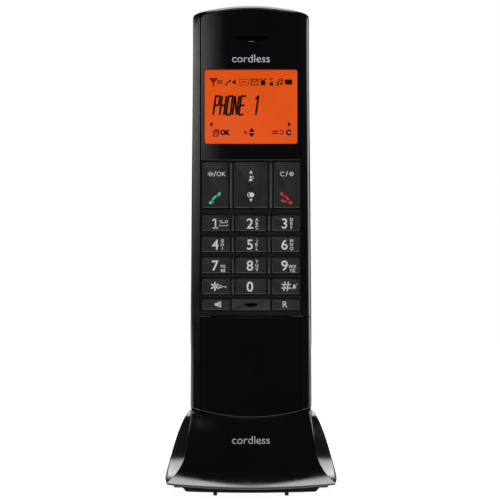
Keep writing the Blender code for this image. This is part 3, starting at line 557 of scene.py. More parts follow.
def rear_housing():
    shell = casing(round_levels(REAR_RADIUS, 18), BACK, REAR_PARTING, REAR_RADIUS,
                   lambda distance: rounding(distance, 2.4))
    shell = cut(shell, hollow_between(SPLIT - 12, BACK - 1.8, 2.0, 6.2))

    cell_low, cell_high = span("battery_contact_low")[0].z - GAP, span("battery_contact_high")[1].z + GAP
    well_half, well_floor, wall = 11.9, -5.6, 1.1
    well = box((-well_half - wall, well_half + wall), (well_floor - wall, BACK - 0.5),
               (cell_low - wall, cell_high + wall))
    screw_spots = [(centre(name).x, centre(name).z) for name in CASE_SCREWS]
    posts = gather([round_y(spot, ((SPLIT + 0.4, 3.9), (BACK - 1.0, 3.9))) for spot in screw_spots])
    plug_half, plug_front, plug_back, plug_top = 21.35, -11.1, 4.6, SEAM - 0.1
    riser = box((-17.0, 17.0), (SPLIT + GAP, plug_back), (plug_top - 2, SEAM + 2.2))
    plug = loft([at_z(rounded_rectangle((-plug_half, plug_front), (plug_half, plug_back), (2.0, 2.0, 4.6, 4.6),
                                        grow=-inset), z)
                 for z, inset in ((REAR_LOW.z, 1.1), (REAR_LOW.z + 0.25, 0.55), (REAR_LOW.z + 0.7, 0.15),
                                  (REAR_LOW.z + 1.2, 0.0), (plug_top, 0.0))])
    shell = joined(shell, well, posts, riser, plug)

    well_space = box((-well_half, well_half), (well_floor, BACK + 5), (cell_low, cell_high))
    heads = [round_y(spot, ((1.0, 2.8), (BACK - 0.5, 2.8), (BACK + 0.5, 3.8), (BACK + 3, 3.8)))
             for spot in screw_spots]
    grille = []
    for slot in range(-3, 4):
        half, height, z = 7.6 - 0.95 * abs(slot), 0.55, SPEAKER_HEIGHT + 2.1 * slot
        for levels, flare in (((2.0, BACK - 0.25), 0.0), ((BACK - 0.35, BACK + 2), 0.2)):
            grille.append(slab((-half, z - height), (half, z + height),
                               [(y, flare, height + flare - 0.01) for y in levels], 6))
    grille = joined(gather(grille[0::2]), gather(grille[1::2]))
    contacts = [box((low.x - GAP, high.x + GAP), (low.y - GAP, high.y + GAP), (REAR_LOW.z - 1, high.z + 0.35))
                for low, high in (span("handset_contact_left"), span("handset_contact_right"))]
    shell = cut(shell, well_space, gather(heads), grille, gather(contacts))
    show("rear_shell", shell, GLOSS, "handset", "handset_rear_housing")


# ---------------------------------------------------------------- glossy fronts

def glass(low_edge, high_edge, corner, front, back, rows=14):
    """A glossy plate, swollen across its width, whose lower and upper edges are functions of x.

    corner rounds the two top corners.
    """
    half, stations, soft, margin = PANEL_HALF_WIDTH - GROOVE, 56, 0.22, 0.06
    turn = round_levels(soft, 4)
    start = soft + margin
    offsets = turn + [start + (2 * half - 2 * start) * step / stations for step in range(stations + 1)]
    offsets += [2 * half - distance for distance in reversed(turn)]
    rings = []
    for offset in offsets:
        x = offset - half
        from_side = min(offset, 2 * half - offset)
        edge = rounding(from_side, soft)
        low = low_edge(x) + edge
        high = high_edge(x) - rounding(from_side, corner) - edge
        face = front - BULGE * (1 - (x / half) ** 2) + edge
        ring = [(x, back, high), (x, back, low)]
        ring += [(x, face + distance, low + rounding(distance, soft)) for distance in reversed(turn)]
        ring += [(x, face, low + start + (high - low - 2 * start) * row / rows) for row in range(rows + 1)]
        ring += [(x, face + distance, high - rounding(distance, soft)) for distance in turn]
        rings.append(ring)
    return loft(rings)


def crown_edge(x):
    """Height of the panel's arched top edge."""
    radius = CROWN_RADIUS - 1.15
    return TOP - CROWN_RADIUS + sqrt(radius * radius - x * x)


def front_panel():
    plate = glass(lambda x: PANEL_LOW.z, crown_edge, 1.5, PANEL_FACE, PANEL_HIGH.y)
    margin, corner = 0.2, 0.9
    rims = ((PANEL_HIGH.y + 1, 0.0), (PANEL_FACE - 0.05, 0.0), (PANEL_FACE - 0.3, 0.06),
            (PANEL_FACE - 2.0, 1.6))
    opening = slab(*front_corners("display_window"),
                   [(y, margin + flare, corner + flare) for y, flare in rims])
    slot = loft([at_y(lens(0.0, EAR_HEIGHT + 0.5, EAR_HALF_WIDTH, 0.5, sag), y)
                 for y, sag in ((PANEL_HIGH.y + 1, 1.5), (PANEL_FACE - 0.36, 1.6), (PANEL_FACE - 0.50, 1.76),
                                (PANEL_FACE - 2.0, 3.5))])
    show("front_panel_glass", cut(plate, opening, slot), PANEL, "handset", "front_panel")


def column_glass():
    plate = glass(lambda x: smile(x, SMILE_RADIUS - GAP) + 0.05, lambda x: COLUMN_PANEL_HIGH.z, 0.05,
                  COLUMN_PANEL_LOW.y + 0.2, COLUMN_PANEL_HIGH.y, rows=6)
    show("column_glass", plate, PANEL, "base", "column_panel")


# ---------------------------------------------------------------- printed and displayed marks

def line(points, width):
    """Outlines of a stroke: one round-ended bar for each stretch."""
    bars = []
    for (ax, az), (bx, bz) in zip(points, points[1:]):
        angle = degrees(atan2(bz - az, bx - ax))
        bars.append(arc((bx, bz), width / 2, angle - 90, angle + 90, 5)
                    + arc((ax, az), width / 2, angle + 90, angle + 270, 5))
    return bars


def strokes(width, *paths):
    return [bar for points in paths for bar in line(points, width)]


def disc(x, z, radius):
    return [arc((x, z), radius, 0, 360, 20)[:-1]]


def band(x, z, radius, width, start=0.0, end=360.0):
    """A ring, or a stretch of one, as two outlines that meet."""
    middle = (start + end) / 2
    return [arc((x, z), radius + width / 2, first, last, 12) + arc((x, z), radius - width / 2, last, first, 12)
            for first, last in ((start, middle), (middle, end))]


def placed(outlines, x, z, size=1.0):
    """Outlines scaled and moved to a place."""
    return [[(x + size * px, z + size * pz) for px, pz in outline] for outline in outlines]


def mirrored(outlines):
    return [[(-x, z) for x, z in reversed(outline)] for outline in outlines]


def frame_of(x, z, half, half_height, width):
    corners = [(x - half, z - half_height), (x + half, z - half_height), (x + half, z + half_height),
               (x - half, z + half_height)]
    return line(corners + corners[:1], width)


# Icons about one unit in half size, as outlines around their own middle
HANDSET = (band(0.95, -0.95, 1.25, 0.34, 100, 170)
           + strokes(0.5, [(-0.62, -0.98), (-0.28, -0.72)], [(0.70, 0.30), (0.98, 0.62)]))
SPEAKER = [[(-0.8, -0.4), (-0.2, -0.4), (0.45, -1.0), (0.45, 1.0), (-0.2, 0.4), (-0.8, 0.4)]]
POINTER = [[(0.5, 0.0), (-0.5, 0.95), (-0.5, -0.95)]]
ICONS = {
    "antenna": strokes(0.32, [(0, -1), (0, 0.9)], [(-0.9, 0.9), (0, -0.1), (0.9, 0.9), (-0.9, 0.9)]),
    "waves": [bar for z in (-0.4, 0.35)
              for bar in line([(-0.9, z - 0.1), (-0.4, z + 0.2), (0.3, z - 0.1), (0.9, z + 0.2)], 0.36)],
    "handset": HANDSET,
    "hang_up": mirrored(HANDSET) + line([(-0.9, -0.55), (-0.35, -0.75)], 0.4),
    "speaker": SPEAKER,
    "loudspeaker": SPEAKER + [[(0.7, -0.95), (1.15, -0.95), (1.15, 0.95), (0.7, 0.95)]],
    "clock": (disc(0, -0.1, 0.72)
              + strokes(0.3, [(-0.85, 0.65), (-0.4, 0.95)], [(0.85, 0.65), (0.4, 0.95)])
              + strokes(0.25, [(-0.5, -0.95), (-0.3, -0.7)], [(0.5, -0.95), (0.3, -0.7)])),
    "padlock": ([[(-0.5, -1.0), (0.5, -1.0), (0.5, -0.2), (-0.5, -0.2)]] + band(0, -0.2, 0.34, 0.2, 0, 180)
                + band(0, 0.3, 0.75, 0.18, 40, 140) + band(0, 0.3, 0.40, 0.16, 40, 140)),
    "notes": (disc(-0.45, -0.7, 0.32) + disc(0.5, -0.45, 0.3)
              + line([(-0.2, -0.7), (-0.2, 0.7), (0.75, 0.95)], 0.2) + line([(0.75, -0.4), (0.75, 0.95)], 0.24)
              + line([(-0.95, -0.2), (0.95, 0.5)], 0.2)),
    "battery": [[(-0.85, -0.7), (1.0, -0.7), (1.0, 0.7), (-0.85, 0.7), (-1.05, 0.3), (-1.05, -0.3)]],
    "envelope": frame_of(0, 0, 0.95, 0.8, 0.24) + line([(-0.9, 0.75), (0, -0.15), (0.9, 0.75)], 0.24),
    "pages": (frame_of(-0.2, -0.2, 0.6, 0.7, 0.24) + line([(-0.4, 0.8), (0.75, 0.8), (0.75, -0.5)], 0.24)
              + strokes(0.2, [(-0.5, 0.15), (0.1, 0.15)], [(-0.5, -0.3), (0.1, -0.3)])),
    "machine": (frame_of(0, 0, 1.25, 0.85, 0.14)
                + line([(-0.7, -0.1), (-0.3, 0.15), (0.3, 0), (0.7, 0.12)], 0.2)),
    "forward": POINTER,
    "backward": [[(-x, z) for x, z in outline] for outline in POINTER],
    "asterisk": strokes(0.3, [(-0.8, 0), (0.8, 0)], [(0, 0.8), (0, -0.8)], [(-0.6, 0.6), (0.6, -0.6)]),
    "scroll": [[(-0.9, 0.2 * side), (0.9, 0.2 * side), (0.0, 1.35 * side)] for side in (-1, 1)],
    "return": line([(-0.8, 0.7), (0.3, 0.7), (0.7, 0.1), (0.3, -0.5), (-0.8, -0.5)], 0.34),
    "tape": (band(-0.95, 0.45, 0.42, 0.22) + band(0.95, 0.45, 0.42, 0.22)
             + strokes(0.22, [(-0.95, 0.03), (0.95, 0.03)],
                       [(-1.45, -0.55), (-1.35, -1.0), (1.35, -1.0), (1.45, -0.55)])),
    "key": (band(-0.75, 0, 0.38, 0.22) + line([(-0.3, 0), (1.0, 0)], 0.22)
            + line([(0.95, 0), (0.95, -0.3)], 0.4)),
    "bell_off": ([[(-0.75, -0.6), (0.75, -0.6), (0.5, -0.2), (0.42, 0.5), (0.0, 0.85), (-0.42, 0.5),
                   (-0.5, -0.2)]]
                 + disc(0, -0.85, 0.18) + line([(-1.0, -0.95), (1.0, 0.95)], 0.2)),
    "menu": (line([(-1, 0), (0, 0.8), (1, 0), (0, -0.8), (-1, 0)], 0.16) + line([(-0.5, 0), (0.5, 0)], 0.3)
             + disc(0, 0, 0.3)),
    "slash": line([(-0.35, -1.0), (0.35, 1.0)], 0.25),
    "contact": (disc(-0.1, 0.35, 0.36) + [[(-0.8, -1.0), (0.45, -1.0), (0.3, -0.3), (-0.1, -0.1), (-0.6, -0.4)]]
                + line([(0.55, 0.75), (0.85, 0.2), (0.6, -0.3)], 0.2)),
    "calls": disc(0.25, 0, 0.78) + band(-0.35, 0, 0.75, 0.22, 90, 270),
    "mute": (band(0, 0, 0.68, 0.2)
             + strokes(0.18, [(-0.48, -0.48), (0.48, 0.48)], [(-0.48, 0.48), (0.48, -0.48)])),
    "up": [[(-0.75, -0.55), (0.75, -0.55), (0.0, 0.8)]],
    "down": [[(-0.75, 0.55), (0.75, 0.55), (0.0, -0.8)]],
    "one": line([(-0.95, 1.3), (0.1, 2.0), (0.1, -1.85)], 0.52) + line([(-0.8, -1.85), (1.0, -1.85)], 0.46),
    "star": [bar for turn in (pi / 6, pi / 2, pi * 5 / 6)
             for bar in line([(-1.6 * cos(turn), -1.6 * sin(turn)), (1.6 * cos(turn), 1.6 * sin(turn))], 0.55)],
    "hash": [bar for offset in (-0.7, 0.7)
             for bar in strokes(0.5, [(offset - 0.2, -1.7), (offset + 0.2, 1.7)],
                                [(-1.75, offset), (1.75, offset)])],
}

# Icons of the display: place across and up as shares of the window, and size
TOP_ROW, ARROW_ROW, LOW_ROW = 0.835, 0.262, 0.150
DISPLAY_ICONS = (
    ("antenna", 0.095, TOP_ROW, 1.55), ("waves", 0.165, TOP_ROW, 1.1), ("handset", 0.247, TOP_ROW, 1.2),
    ("speaker", 0.322, TOP_ROW, 1.1), ("envelope", 0.538, TOP_ROW, 1.45), ("clock", 0.630, TOP_ROW, 1.5),
    ("padlock", 0.720, TOP_ROW, 1.45), ("notes", 0.805, TOP_ROW, 1.55), ("battery", 0.905, TOP_ROW, 1.5),
    ("machine", 0.425, TOP_ROW, 1.4), ("backward", 0.068, ARROW_ROW, 1.2), ("forward", 0.915, ARROW_ROW, 1.2),
    ("pages", 0.125, 0.145, 1.5), ("asterisk", 0.440, LOW_ROW, 0.85), ("scroll", 0.507, LOW_ROW, 1.45),
    ("waves", 0.760, LOW_ROW, 1.2), ("return", 0.832, LOW_ROW, 1.0))

# Strokes of the display's letters, as ends in a grid 2 wide and 4 high
SEGMENTS = {
    "P": ((0, 0, 0, 4), (0, 4, 2, 4), (2, 4, 2, 2), (2, 2, 0, 2)),
    "H": ((0, 0, 0, 4), (2, 0, 2, 4), (0, 2, 2, 2)),
    "O": ((0, 0, 0, 4), (0, 4, 2, 4), (2, 4, 2, 0), (2, 0, 0, 0)),
    "N": ((0, 0, 0, 4), (0, 4, 2, 0), (2, 0, 2, 4)),
    "E": ((2, 4, 0, 4), (0, 4, 0, 0), (0, 0, 2, 0), (0, 2, 2, 2)),
    "1": ((1, 3.4, 2, 4), (2, 4, 2, 0)),
    " ": (),
}


def segment_word(word, left, low, height, pitch):
    """A word in the display's slanted segment letters."""
    unit, slant, bars = height / 4, 0.14, []
    for place, letter in enumerate(word):
        for ax, az, bx, bz in SEGMENTS[letter]:
            steps = max(round(abs(bz - az) / 2), 1)
            for step in range(steps):
                ends = []
                for share in ((step + 0.07) / steps, (step + 0.93) / steps):
                    x, z = ax + (bx - ax) * share, az + (bz - az) * share
                    ends.append((left + place * pitch + x * pitch * 0.33 + z * unit * slant, low + z * unit))
                bars += line(ends, height * 0.11)
    return bars


def lettering(words, height, x, z, face, width=None, weight=0.0):
    """Printed letters centred on a point, with an exact height and, if asked, width; weight thickens them."""
    curve = bpy.data.curves.new("lettering", "FONT")
    curve.body = words
    curve.offset = weight
    curve.extrude = 0.01
    curve.resolution_u = 6
    holder = place_in_scene("lettering", curve)
    mesh = bpy.data.meshes.new_from_object(holder.evaluated_get(bpy.context.evaluated_depsgraph_get()))
    bpy.data.objects.remove(holder)
    bpy.data.curves.remove(curve)
    solid = bmesh.new()
    solid.from_mesh(mesh)
    bpy.data.meshes.remove(mesh)
    bmesh.ops.remove_doubles(solid, verts=solid.verts, dist=1e-5)
    xs, zs = [vert.co.x for vert in solid.verts], [vert.co.y for vert in solid.verts]
    tall = height / (max(zs) - min(zs))
    wide = width / (max(xs) - min(xs)) if width else tall
    middle_x, middle_z = (max(xs) + min(xs)) / 2, (max(zs) + min(zs)) / 2
    for vert in solid.verts:
        u, v, w = vert.co
        vert.co = (x + (u - middle_x) * wide, face - (INK if w > 0 else -0.05), z + (v - middle_z) * tall)
    return solid


def display():
    glow_front = WINDOW_LOW.y + 0.6
    low, high = front_corners("display_window")
    levels = [(y, grow, 0.8) for y, grow in ((WINDOW_HIGH.y, 0.0), (glow_front + 0.12, 0.0),
                                             (glow_front + 0.03, -0.04), (glow_front, -0.12))]
    show("display_glow", slab(low, high, levels), GLOW, "handset", "display_window")

    def at(across, up):
        return low[0] + across * (high[0] - low[0]), low[1] + up * (high[1] - low[1])

    marks = segment_word("PHONE 1", *at(0.092, 0.392), 7.6, 2.62)
    for icon, across, up, size in DISPLAY_ICONS:
        marks += placed(ICONS[icon], *at(across, up), size)
    solids = [plate_xz(outline, (glow_front - 0.03, glow_front + 0.05)) for outline in marks]
    solids += [lettering("OK", 2.3, *at(0.222, LOW_ROW), glow_front, width=4.1, weight=0.07),
               lettering("C", 2.4, *at(0.905, LOW_ROW), glow_front, weight=0.07)]
    show("display_marks", gather(solids), LCD_INK, "handset")


# ---------------------------------------------------------------- keypad

def cap_rings(low, high, front, back, edge, corner, steps=6):
    """Rings of a block between two (x, z) corners, with a rounded front edge and its own corner radius."""
    margin = 0.05
    levels = [(0.0, edge + margin)]
    levels += [(distance, rounding(distance, edge)) for distance in round_levels(edge, steps)]
    levels.append((back - front, 0.0))
    return [at_y(rounded_rectangle(low, high, max(corner - inset, 0.12), 6, -inset), front + distance)
            for distance, inset in levels]


def key_cap(name):
    """A key's cap on the CAD key's own outline, and the stem behind it."""
    edge, corner, stem_corner = 0.42, 0.6, 0.4
    back, half_width_, half_height = KEY_FRONT + CAP_DEPTH, 2.0, 1.3
    middle = centre(name)
    rings = cap_rings(*front_corners(name), KEY_FRONT, back, edge, corner)
    stem = rounded_rectangle((middle.x - half_width_, middle.z - half_height),
                             (middle.x + half_width_, middle.z + half_height), stem_corner, 6)
    return loft(rings + [at_y(stem, y) for y in (back, span(name)[1].y)])


def keys():
    for name in PUSH_KEYS + ROCKERS:
        show(name + "_cap", key_cap(name), KEYS, name, name)


def mouth(front, back, flare):
    """The slot over the microphone, its lower lip sloping outward."""
    levels = ((back + 1, 1.0), (front + 0.35, 1.0), (front, 1.0 + flare), (front - 1, 1.0 + flare * 3))
    return loft([at_y(lens(0.0, centre("key_recall").z + 0.25, 3.0, 0.3, sag), y) for y, sag in levels])


def keypad_bezel():
    """The black plate between the keys, and the grey bars moulded on it."""
    face, rear = KEYPAD_LOW.y, KEYPAD_HIGH.y
    holes = [mouth(face, rear, 0.0)]
    side_play = 0.25
    for name in PUSH_KEYS + ROCKERS:
        (left, bottom), (right, top) = front_corners(name)
        play = 0.35 if name in ROCKERS else 0.25
        outline = rounded_rectangle((left - side_play, bottom - play), (right + side_play, top + play), 0.7, 5)
        holes.append(plate_xz(outline, (face - 1, rear + 1)))
    plate = loft(cap_rings(*front_corners("keypad_frame"), face, rear, 0.03, 0.3, 2))
    show("keypad_bezel", cut(plate, gather(holes)), BEZEL, "handset", "keypad_frame")

    back, rib_height, line_height, block_height, line_half_width = face + 0.3, 0.42, 0.16, 0.4, 20.0
    *rows, rockers, recall = [(span(name)[0].z, span(name)[1].z)
                              for name in ("key_2", "key_5", "key_8", "key_0", "up_down_key", "key_recall")]
    bars = [loft(cap_rings((side * x - half, bottom + 0.1), (side * x + half, top - 0.1),
                           face - rib_height, back, rib_height, 0.5))
            for side in (-1, 1)
            for x, half, (bottom, top) in [(8.12, 0.66, rockers)] + [(7.42, 0.56, row) for row in rows]]
    lines = [loft(cap_rings((-line_half_width, bottom - 0.85), (line_half_width, bottom - 0.5),
                            face - line_height, back, line_height, 0.2, 3))
             for bottom in [row[0] for row in rows] + [rockers[0] - 0.1, recall[0]]]
    show("keypad_lines", gather(lines), BEZEL, "handset", "keypad_frame")
    block = loft(cap_rings((-8.0, recall[0]), (8.0, recall[1]), face - block_height, back, 0.35, 0.4))
    block = cut(block, mouth(face - block_height, back, 0.35))
    show("keypad_bars", gather(bars), RIBS, "handset", "keypad_frame")
    show("mouthpiece", block, KEYS, "handset", "keypad_frame")


KEY_LETTERS = {"2": "ABC", "3": "DEF", "4": "GHI", "5": "JKL", "6": "MNO", "7": ("PQ", "RS"), "8": "TUV",
               "9": ("WX", "YZ")}

# Printed marks: icons as (icon, x, z, size) and words as (words, height, x, z) from the key's centre
KEY_LEGENDS = (
    ("legend_key_star", "key_star", WHITE_INK, (("star", -0.6, 0.0, 1.0), ("key", 2.6, -0.1, 1.25)), ()),
    ("legend_key_hash", "key_hash", WHITE_INK, (("hash", 0.2, 0.0, 1.0), ("bell_off", 3.5, -0.1, 1.05)), ()),
    ("legend_key_speaker", "key_speaker", GREY_INK, (("loudspeaker", 0.4, 0.0, 1.3),), ()),
    ("legend_key_recall", "key_recall", WHITE_INK, (), (("R", 2.5, -0.2, 0.0),)),
)
WORDS, SYMBOLS = 4.55, -4.95                # heights of the upper and lower marks on the rocking keys
ROCKER_LEGENDS = (
    ("legend_menu", "menu_talk_key", WHITE_INK, (("menu", -2.0, WORDS, 1.15), ("slash", -0.25, WORDS, 1.0)),
     (("OK", 1.8, 2.35, WORDS),)),
    ("legend_talk", "menu_talk_key", GREEN_INK, (("handset", -0.6, SYMBOLS, 2.35),), ()),
    ("legend_up_down", "up_down_key", WHITE_INK,
     (("up", 0.0, WORDS + 0.75, 0.95), ("contact", 0.0, WORDS - 1.7, 1.2), ("calls", 0.0, SYMBOLS + 1.0, 1.25),
      ("down", 0.0, SYMBOLS - 1.2, 0.95)), ()),
    ("legend_cancel", "cancel_end_key", WHITE_INK, (("mute", 2.0, WORDS, 1.15), ("slash", 0.05, WORDS, 1.0)),
     (("C", 1.9, -1.8, WORDS),)),
    ("legend_end", "cancel_end_key", RED_INK, (("hang_up", 0.3, SYMBOLS, 2.4),), ()),
)


def print_marks(name, outlines, letters, face, look, body):
    """Printed shapes and letters on one face, as one piece."""
    shapes = [plate_xz(outline, (face - INK, face + 0.05)) for outline in outlines]
    show(name, gather(shapes + letters), look, body)


def number_legend(label):
    """A number key's digit, and the letters or the icon beside it."""
    name = "key_" + label
    x, z = centre(name).x, centre(name).z - 0.15
    digit_x, letters_x, digit_height, letter_height = x - 0.45, x + 2.4, 4.15, 1.35
    stem, digit, icon, letters = [], [], [], []
    if label == "1":
        stem = placed(ICONS["one"], digit_x, z)
        icon = placed(ICONS["tape"], x + 3.0, z + 0.25, 1.15)
    else:
        digit.append(lettering(label, digit_height, digit_x, z, KEY_FRONT, weight=0.01))
    rows = KEY_LETTERS.get(label, "")
    for row, words in enumerate(rows):
        height = z + 1.6 * (1 - row) if len(rows) == 3 else z - 0.35 - 1.65 * row
        across = letters_x + 0.35 * (len(words) - 1)
        letters.append(lettering(words, letter_height, across, height, KEY_FRONT, weight=0.03))
    print_marks("legend_" + name, stem, digit, KEY_FRONT, WHITE_INK, name)
    if icon or letters:
        print_marks("letters_" + name, icon, letters, KEY_FRONT, GREY_INK, name)


def print_legends(table):
    for name, body, look, icons, words in table:
        spot = centre(body)
        outlines = [outline for icon, x, z, size in icons
                    for outline in placed(ICONS[icon], spot.x + x, spot.z + z, size)]
        letters = [lettering(text, height, spot.x + x, spot.z + z, KEY_FRONT) for text, height, x, z in words]
        print_marks(name, outlines, letters, KEY_FRONT, look, body)


def legends():
    for label in "1234567890":
        number_legend(label)
    print_legends(KEY_LEGENDS)
    finding_bump()
    print_legends(ROCKER_LEGENDS)
    face = PANEL_FACE - BULGE
    word = lettering("cordless", 3.1, 0.0, WINDOW_HIGH.z + 4.6, face, 15.4)
    print_marks("legend_word", [], [word], face, WORD_INK, "handset")


def finding_bump():
    """The small dome beside the 5 that is felt with a thumb."""
    spot, radius = centre("key_5"), 0.42
    steps = [(KEY_FRONT + 0.2, radius)] + [(KEY_FRONT - 0.25 * sin(radians(turn)), radius * cos(radians(turn)))
                                           for turn in (0, 20, 40, 60, 80)]
    show("key_5_bump", round_y((spot.x + 4.6, spot.z), steps, 20), MATT, "key_5")


# ---------------------------------------------------------------- column

def column():
    low_half_width, soft, top = half_width(SMILE_LOW + 4), 0.2, COLUMN_HIGH.z + SEAM_RISE

    def on_seam(plan, lift=0.0):
        return [(x, y, smile(x, SMILE_RADIUS - GAP) + lift) for x, y in plan]

    def outside(half, inset):
        return section(half - inset, FRONT + inset, BACK - inset, RAIL_RADIUS - inset, REAR_RADIUS - inset, 12)

    inside = section(low_half_width - 1.6, FRONT + 3.1, BACK - 1.6, 1.5, 6.4, 12)
    rings = [on_seam(outside(low_half_width, inset), lift)
             for inset, lift in ((soft, 0.0), (soft * 0.3, soft * 0.3), (0.0, soft), (0.0, 2 * soft))]
    start = 37.0
    heights = [start + step * (top - 2 * soft - start) / 8 for step in range(9)]
    rings += [at_z(outside(half_width(z), inset), z)
              for z, inset in [(z, 0.0) for z in heights] + [(top - soft, 0.0), (top - soft * 0.3, soft * 0.3),
                                                             (top, soft)]]
    shell = loft(rings + [at_z(inside, top), on_seam(inside)], closed=True)
    pocket = []
    below, above = SMILE_LOW - 5, SEAM + 5
    for y, flare in pocket_levels(COLUMN_PANEL_HIGH.y + GAP):
        half = PANEL_HALF_WIDTH + GAP + flare
        pocket.append(at_y(((-half, below), (half, below), (half, above), (-half, above)), y))
    button = centre("page_button")
    radius = (span("page_button")[1].x - button.x) + 0.4
    hole = round_y((button.x, button.z), ((2.0, radius), (BACK - 0.25, radius), (BACK, radius + 0.25),
                                          (BACK + 3, radius + 3)))
    show("column_skin", cut(shell, loft(pocket), hole), GLOSS, "base", "column_shell")


def page_button():
    low, high = span("page_button")
    middle, radius = (low + high) / 2, (high.x - low.x) / 2
    dome = [(high.y - 0.1 * step ** 2 / 4, radius - 0.55 - 0.25 * (4 - step)) for step in range(5)]
    edge = [(high.y - 0.4 - distance, radius - rounding(distance, 0.3)) for distance in round_levels(0.3, 4)]
    steps = [(low.y, 3.0), (low.y + 1.2, 3.0), (low.y + 1.2, radius)] + edge[::-1]
    steps += [(high.y - 0.4, radius - 0.5)] + dome[::-1]
    cap = round_y((middle.x, middle.z), steps, 64)
    show("page_button_cap", cap, KEYS, "page_button", "page_button")


def cradle():
    """The cup in the column's top that takes the handset's plug."""
    floor_z, top = span("base_contact_left")[0].z + 4.9, CRADLE_HIGH.z
    levels = ((CRADLE_LOW.z, 0.3), (CRADLE_LOW.z + 0.3, 0.0), (top - 0.3, 0.0), (top - 0.08, 0.1), (top, 0.3),
              (top, 0.6), (top - 0.1, 0.85), (top - 0.4, 1.0), (floor_z + 0.8, 1.0), (floor_z + 0.2, 1.2),
              (floor_z, 1.8))
    cup = loft([at_z(section(half_width(z) - 1.9 - inset, -12.6 + inset, 6.1 - inset, 1.5, 6.1 - inset, 10), z)
                for z, inset in levels])
    slots = [box((low.x - 0.5, high.x + 0.5), (low.y - 0.3, high.y + 0.3), (CRADLE_LOW.z - 5, floor_z + 2))
             for low, high in (span("base_contact_left"), span("base_contact_right"))]
    show("cradle_cup", cut(cup, gather(slots)), MATT, "base", "cradle_insert")


# ---------------------------------------------------------------- foot

def foot_share(z):
    """How far down the flare a height lies: 0 at its top and 1 at the lip."""
    return min(max((FLARE_TOP - z) / (FLARE_TOP - LIP_TOP), 0.0), 1.0)


def front_shape(z, inset=0.0):
    """Where the foot's front face lies at a height: its nose, its corner ridge and how it bows between."""
    share = foot_share(z)
    forward = share ** 2.2 + 0.48 * share * (1 - share) ** 3
    nose = FRONT + forward * (FOOT_LOW.y - FRONT) + inset
    ridge_x = 24.4 + (0.25 * share + 0.75 * share ** 4) * 9.9 - inset
    ridge_y = -13.0 - 11.5 * forward + inset
    return nose, ridge_x, ridge_y, 1.7 + 6.3 * (1 - share) ** 2


def foot_outline(z, inset=0.0):
    """Plan of the foot at one height: a bowed front, corner ridges, flanks and a full round rear."""
    front_steps, flank_steps, rear_steps = 22, 12, 26
    share = foot_share(z)
    swell = share ** 0.64
    side = FOOT_END_HALF_WIDTH + swell * (FOOT_HIGH.x - FOOT_END_HALF_WIDTH) - inset
    back = BACK + swell * (FOOT_HIGH.y - BACK) - inset
    nose, ridge_x, ridge_y, bow = front_shape(z, inset)
    middle = ridge_y + 6.0 + 17.0 * share ** 1.3
    fullness = 5.0 - 2.4 * share
    right = [(ridge_x * step / front_steps, nose + (ridge_y - nose) * (step / front_steps) ** bow)
             for step in range(front_steps)]
    right += [(ridge_x + (side - ridge_x) * share, ridge_y + (middle - ridge_y) * share)
              for share in (step / flank_steps for step in range(flank_steps))]
    for step in range(rear_steps + 1):
        angle = step / rear_steps * pi / 2
        right.append((side * max(cos(angle), 0.0) ** (2 / fullness),
                      middle + (back - middle) * sin(angle) ** (2 / fullness)))
    return right + [(-x, y) for x, y in reversed(right[1:-1])]


def foot_rim(inset):
    """The foot's upper edge: each point of the plan lifted to where it meets the curved seam."""
    rim = []
    for index, (x, _) in enumerate(foot_outline(FLARE_TOP, inset)):
        z = smile(x)
        for _ in range(4):
            z = smile(foot_outline(z, inset)[index][0])
        rim.append((*foot_outline(z, inset)[index], z))
    return rim


def foot_wall():
    """The foot's hollow skin, from its lip up to the curved seam and down again inside."""
    low = FOOT_LOW.z
    rings = [at_z(foot_outline(low + lift, inset), low + lift)
             for lift, inset in ((0.0, 0.9), (0.06, 0.55), (0.2, 0.28), (0.45, 0.1), (0.75, 0.0))]
    rim = foot_rim(0.0)
    start, soft, steps = low + 1.0, 0.12, 34
    for step in range(steps + 1):
        heights = [start + (top - soft - start) * (step / steps) ** 1.35 for _, _, top in rim]
        rings.append([(*foot_outline(z)[index], z) for index, z in enumerate(heights)])
    rings.append([(x, y, z - soft * 0.3) for x, y, z in foot_rim(soft * 0.3)])
    rings += [foot_rim(soft), foot_rim(FOOT_WALL)]
    rings += [at_z(foot_outline(z + 1.2, FOOT_WALL), z)
              for z in (26.0, 20.0, 15.0, 11.0, 8.0, 6.0, 4.6, 3.8, low)]
    return loft(rings, closed=True)


def foot():
    left, right = span("power_socket")[0], span("line_socket")[1]
    niche_low = Vector((left.x - 2.3, right.y + 0.1, left.z - 0.7))
    niche_high = Vector((right.x + 2.3, FOOT_HIGH.y, right.z + 1.3))
    wall = 1.5
    block = box((niche_low.x - wall, niche_high.x + wall), (niche_low.y - wall, FOOT_HIGH.y + 5),
                (niche_low.z - wall, niche_high.z + wall))
    form = loft([at_z(foot_outline(z, 0.6), z) for z in (FOOT_LOW.z + 0.5, 5.5, 8, 12, 16, 20, 24, 28)])
    space = slab((niche_low.x, niche_low.z), (niche_high.x, niche_high.z),
                 [(y, 0.0, 1.2) for y in (niche_low.y, FOOT_HIGH.y + 5)], 6)
    holes = [box((low.x - GAP, high.x + GAP), (niche_low.y - 5, niche_low.y + 2), (low.z - GAP, high.z + GAP))
             for low, high in map(span, SOCKETS)]
    shell = joined(foot_wall(), boolean(form, block, "INTERSECT"))
    shell = cut(shell, space, gather(holes))
    for vert in shell.verts:
        vert.co.z += corner_lift(vert.co.x, vert.co.z)
    show("foot_skin", shell, GLOSS, "base", "foot_shell", sharp=40)


def corner_lift(x, z):
    """The foot's lip rises a little toward its corners; higher up the lift fades out."""
    return 1.5 * (x / FOOT_HIGH.x) ** 2 * max(1.0 - (z - FOOT_LOW.z) / 12.0, 0.0)


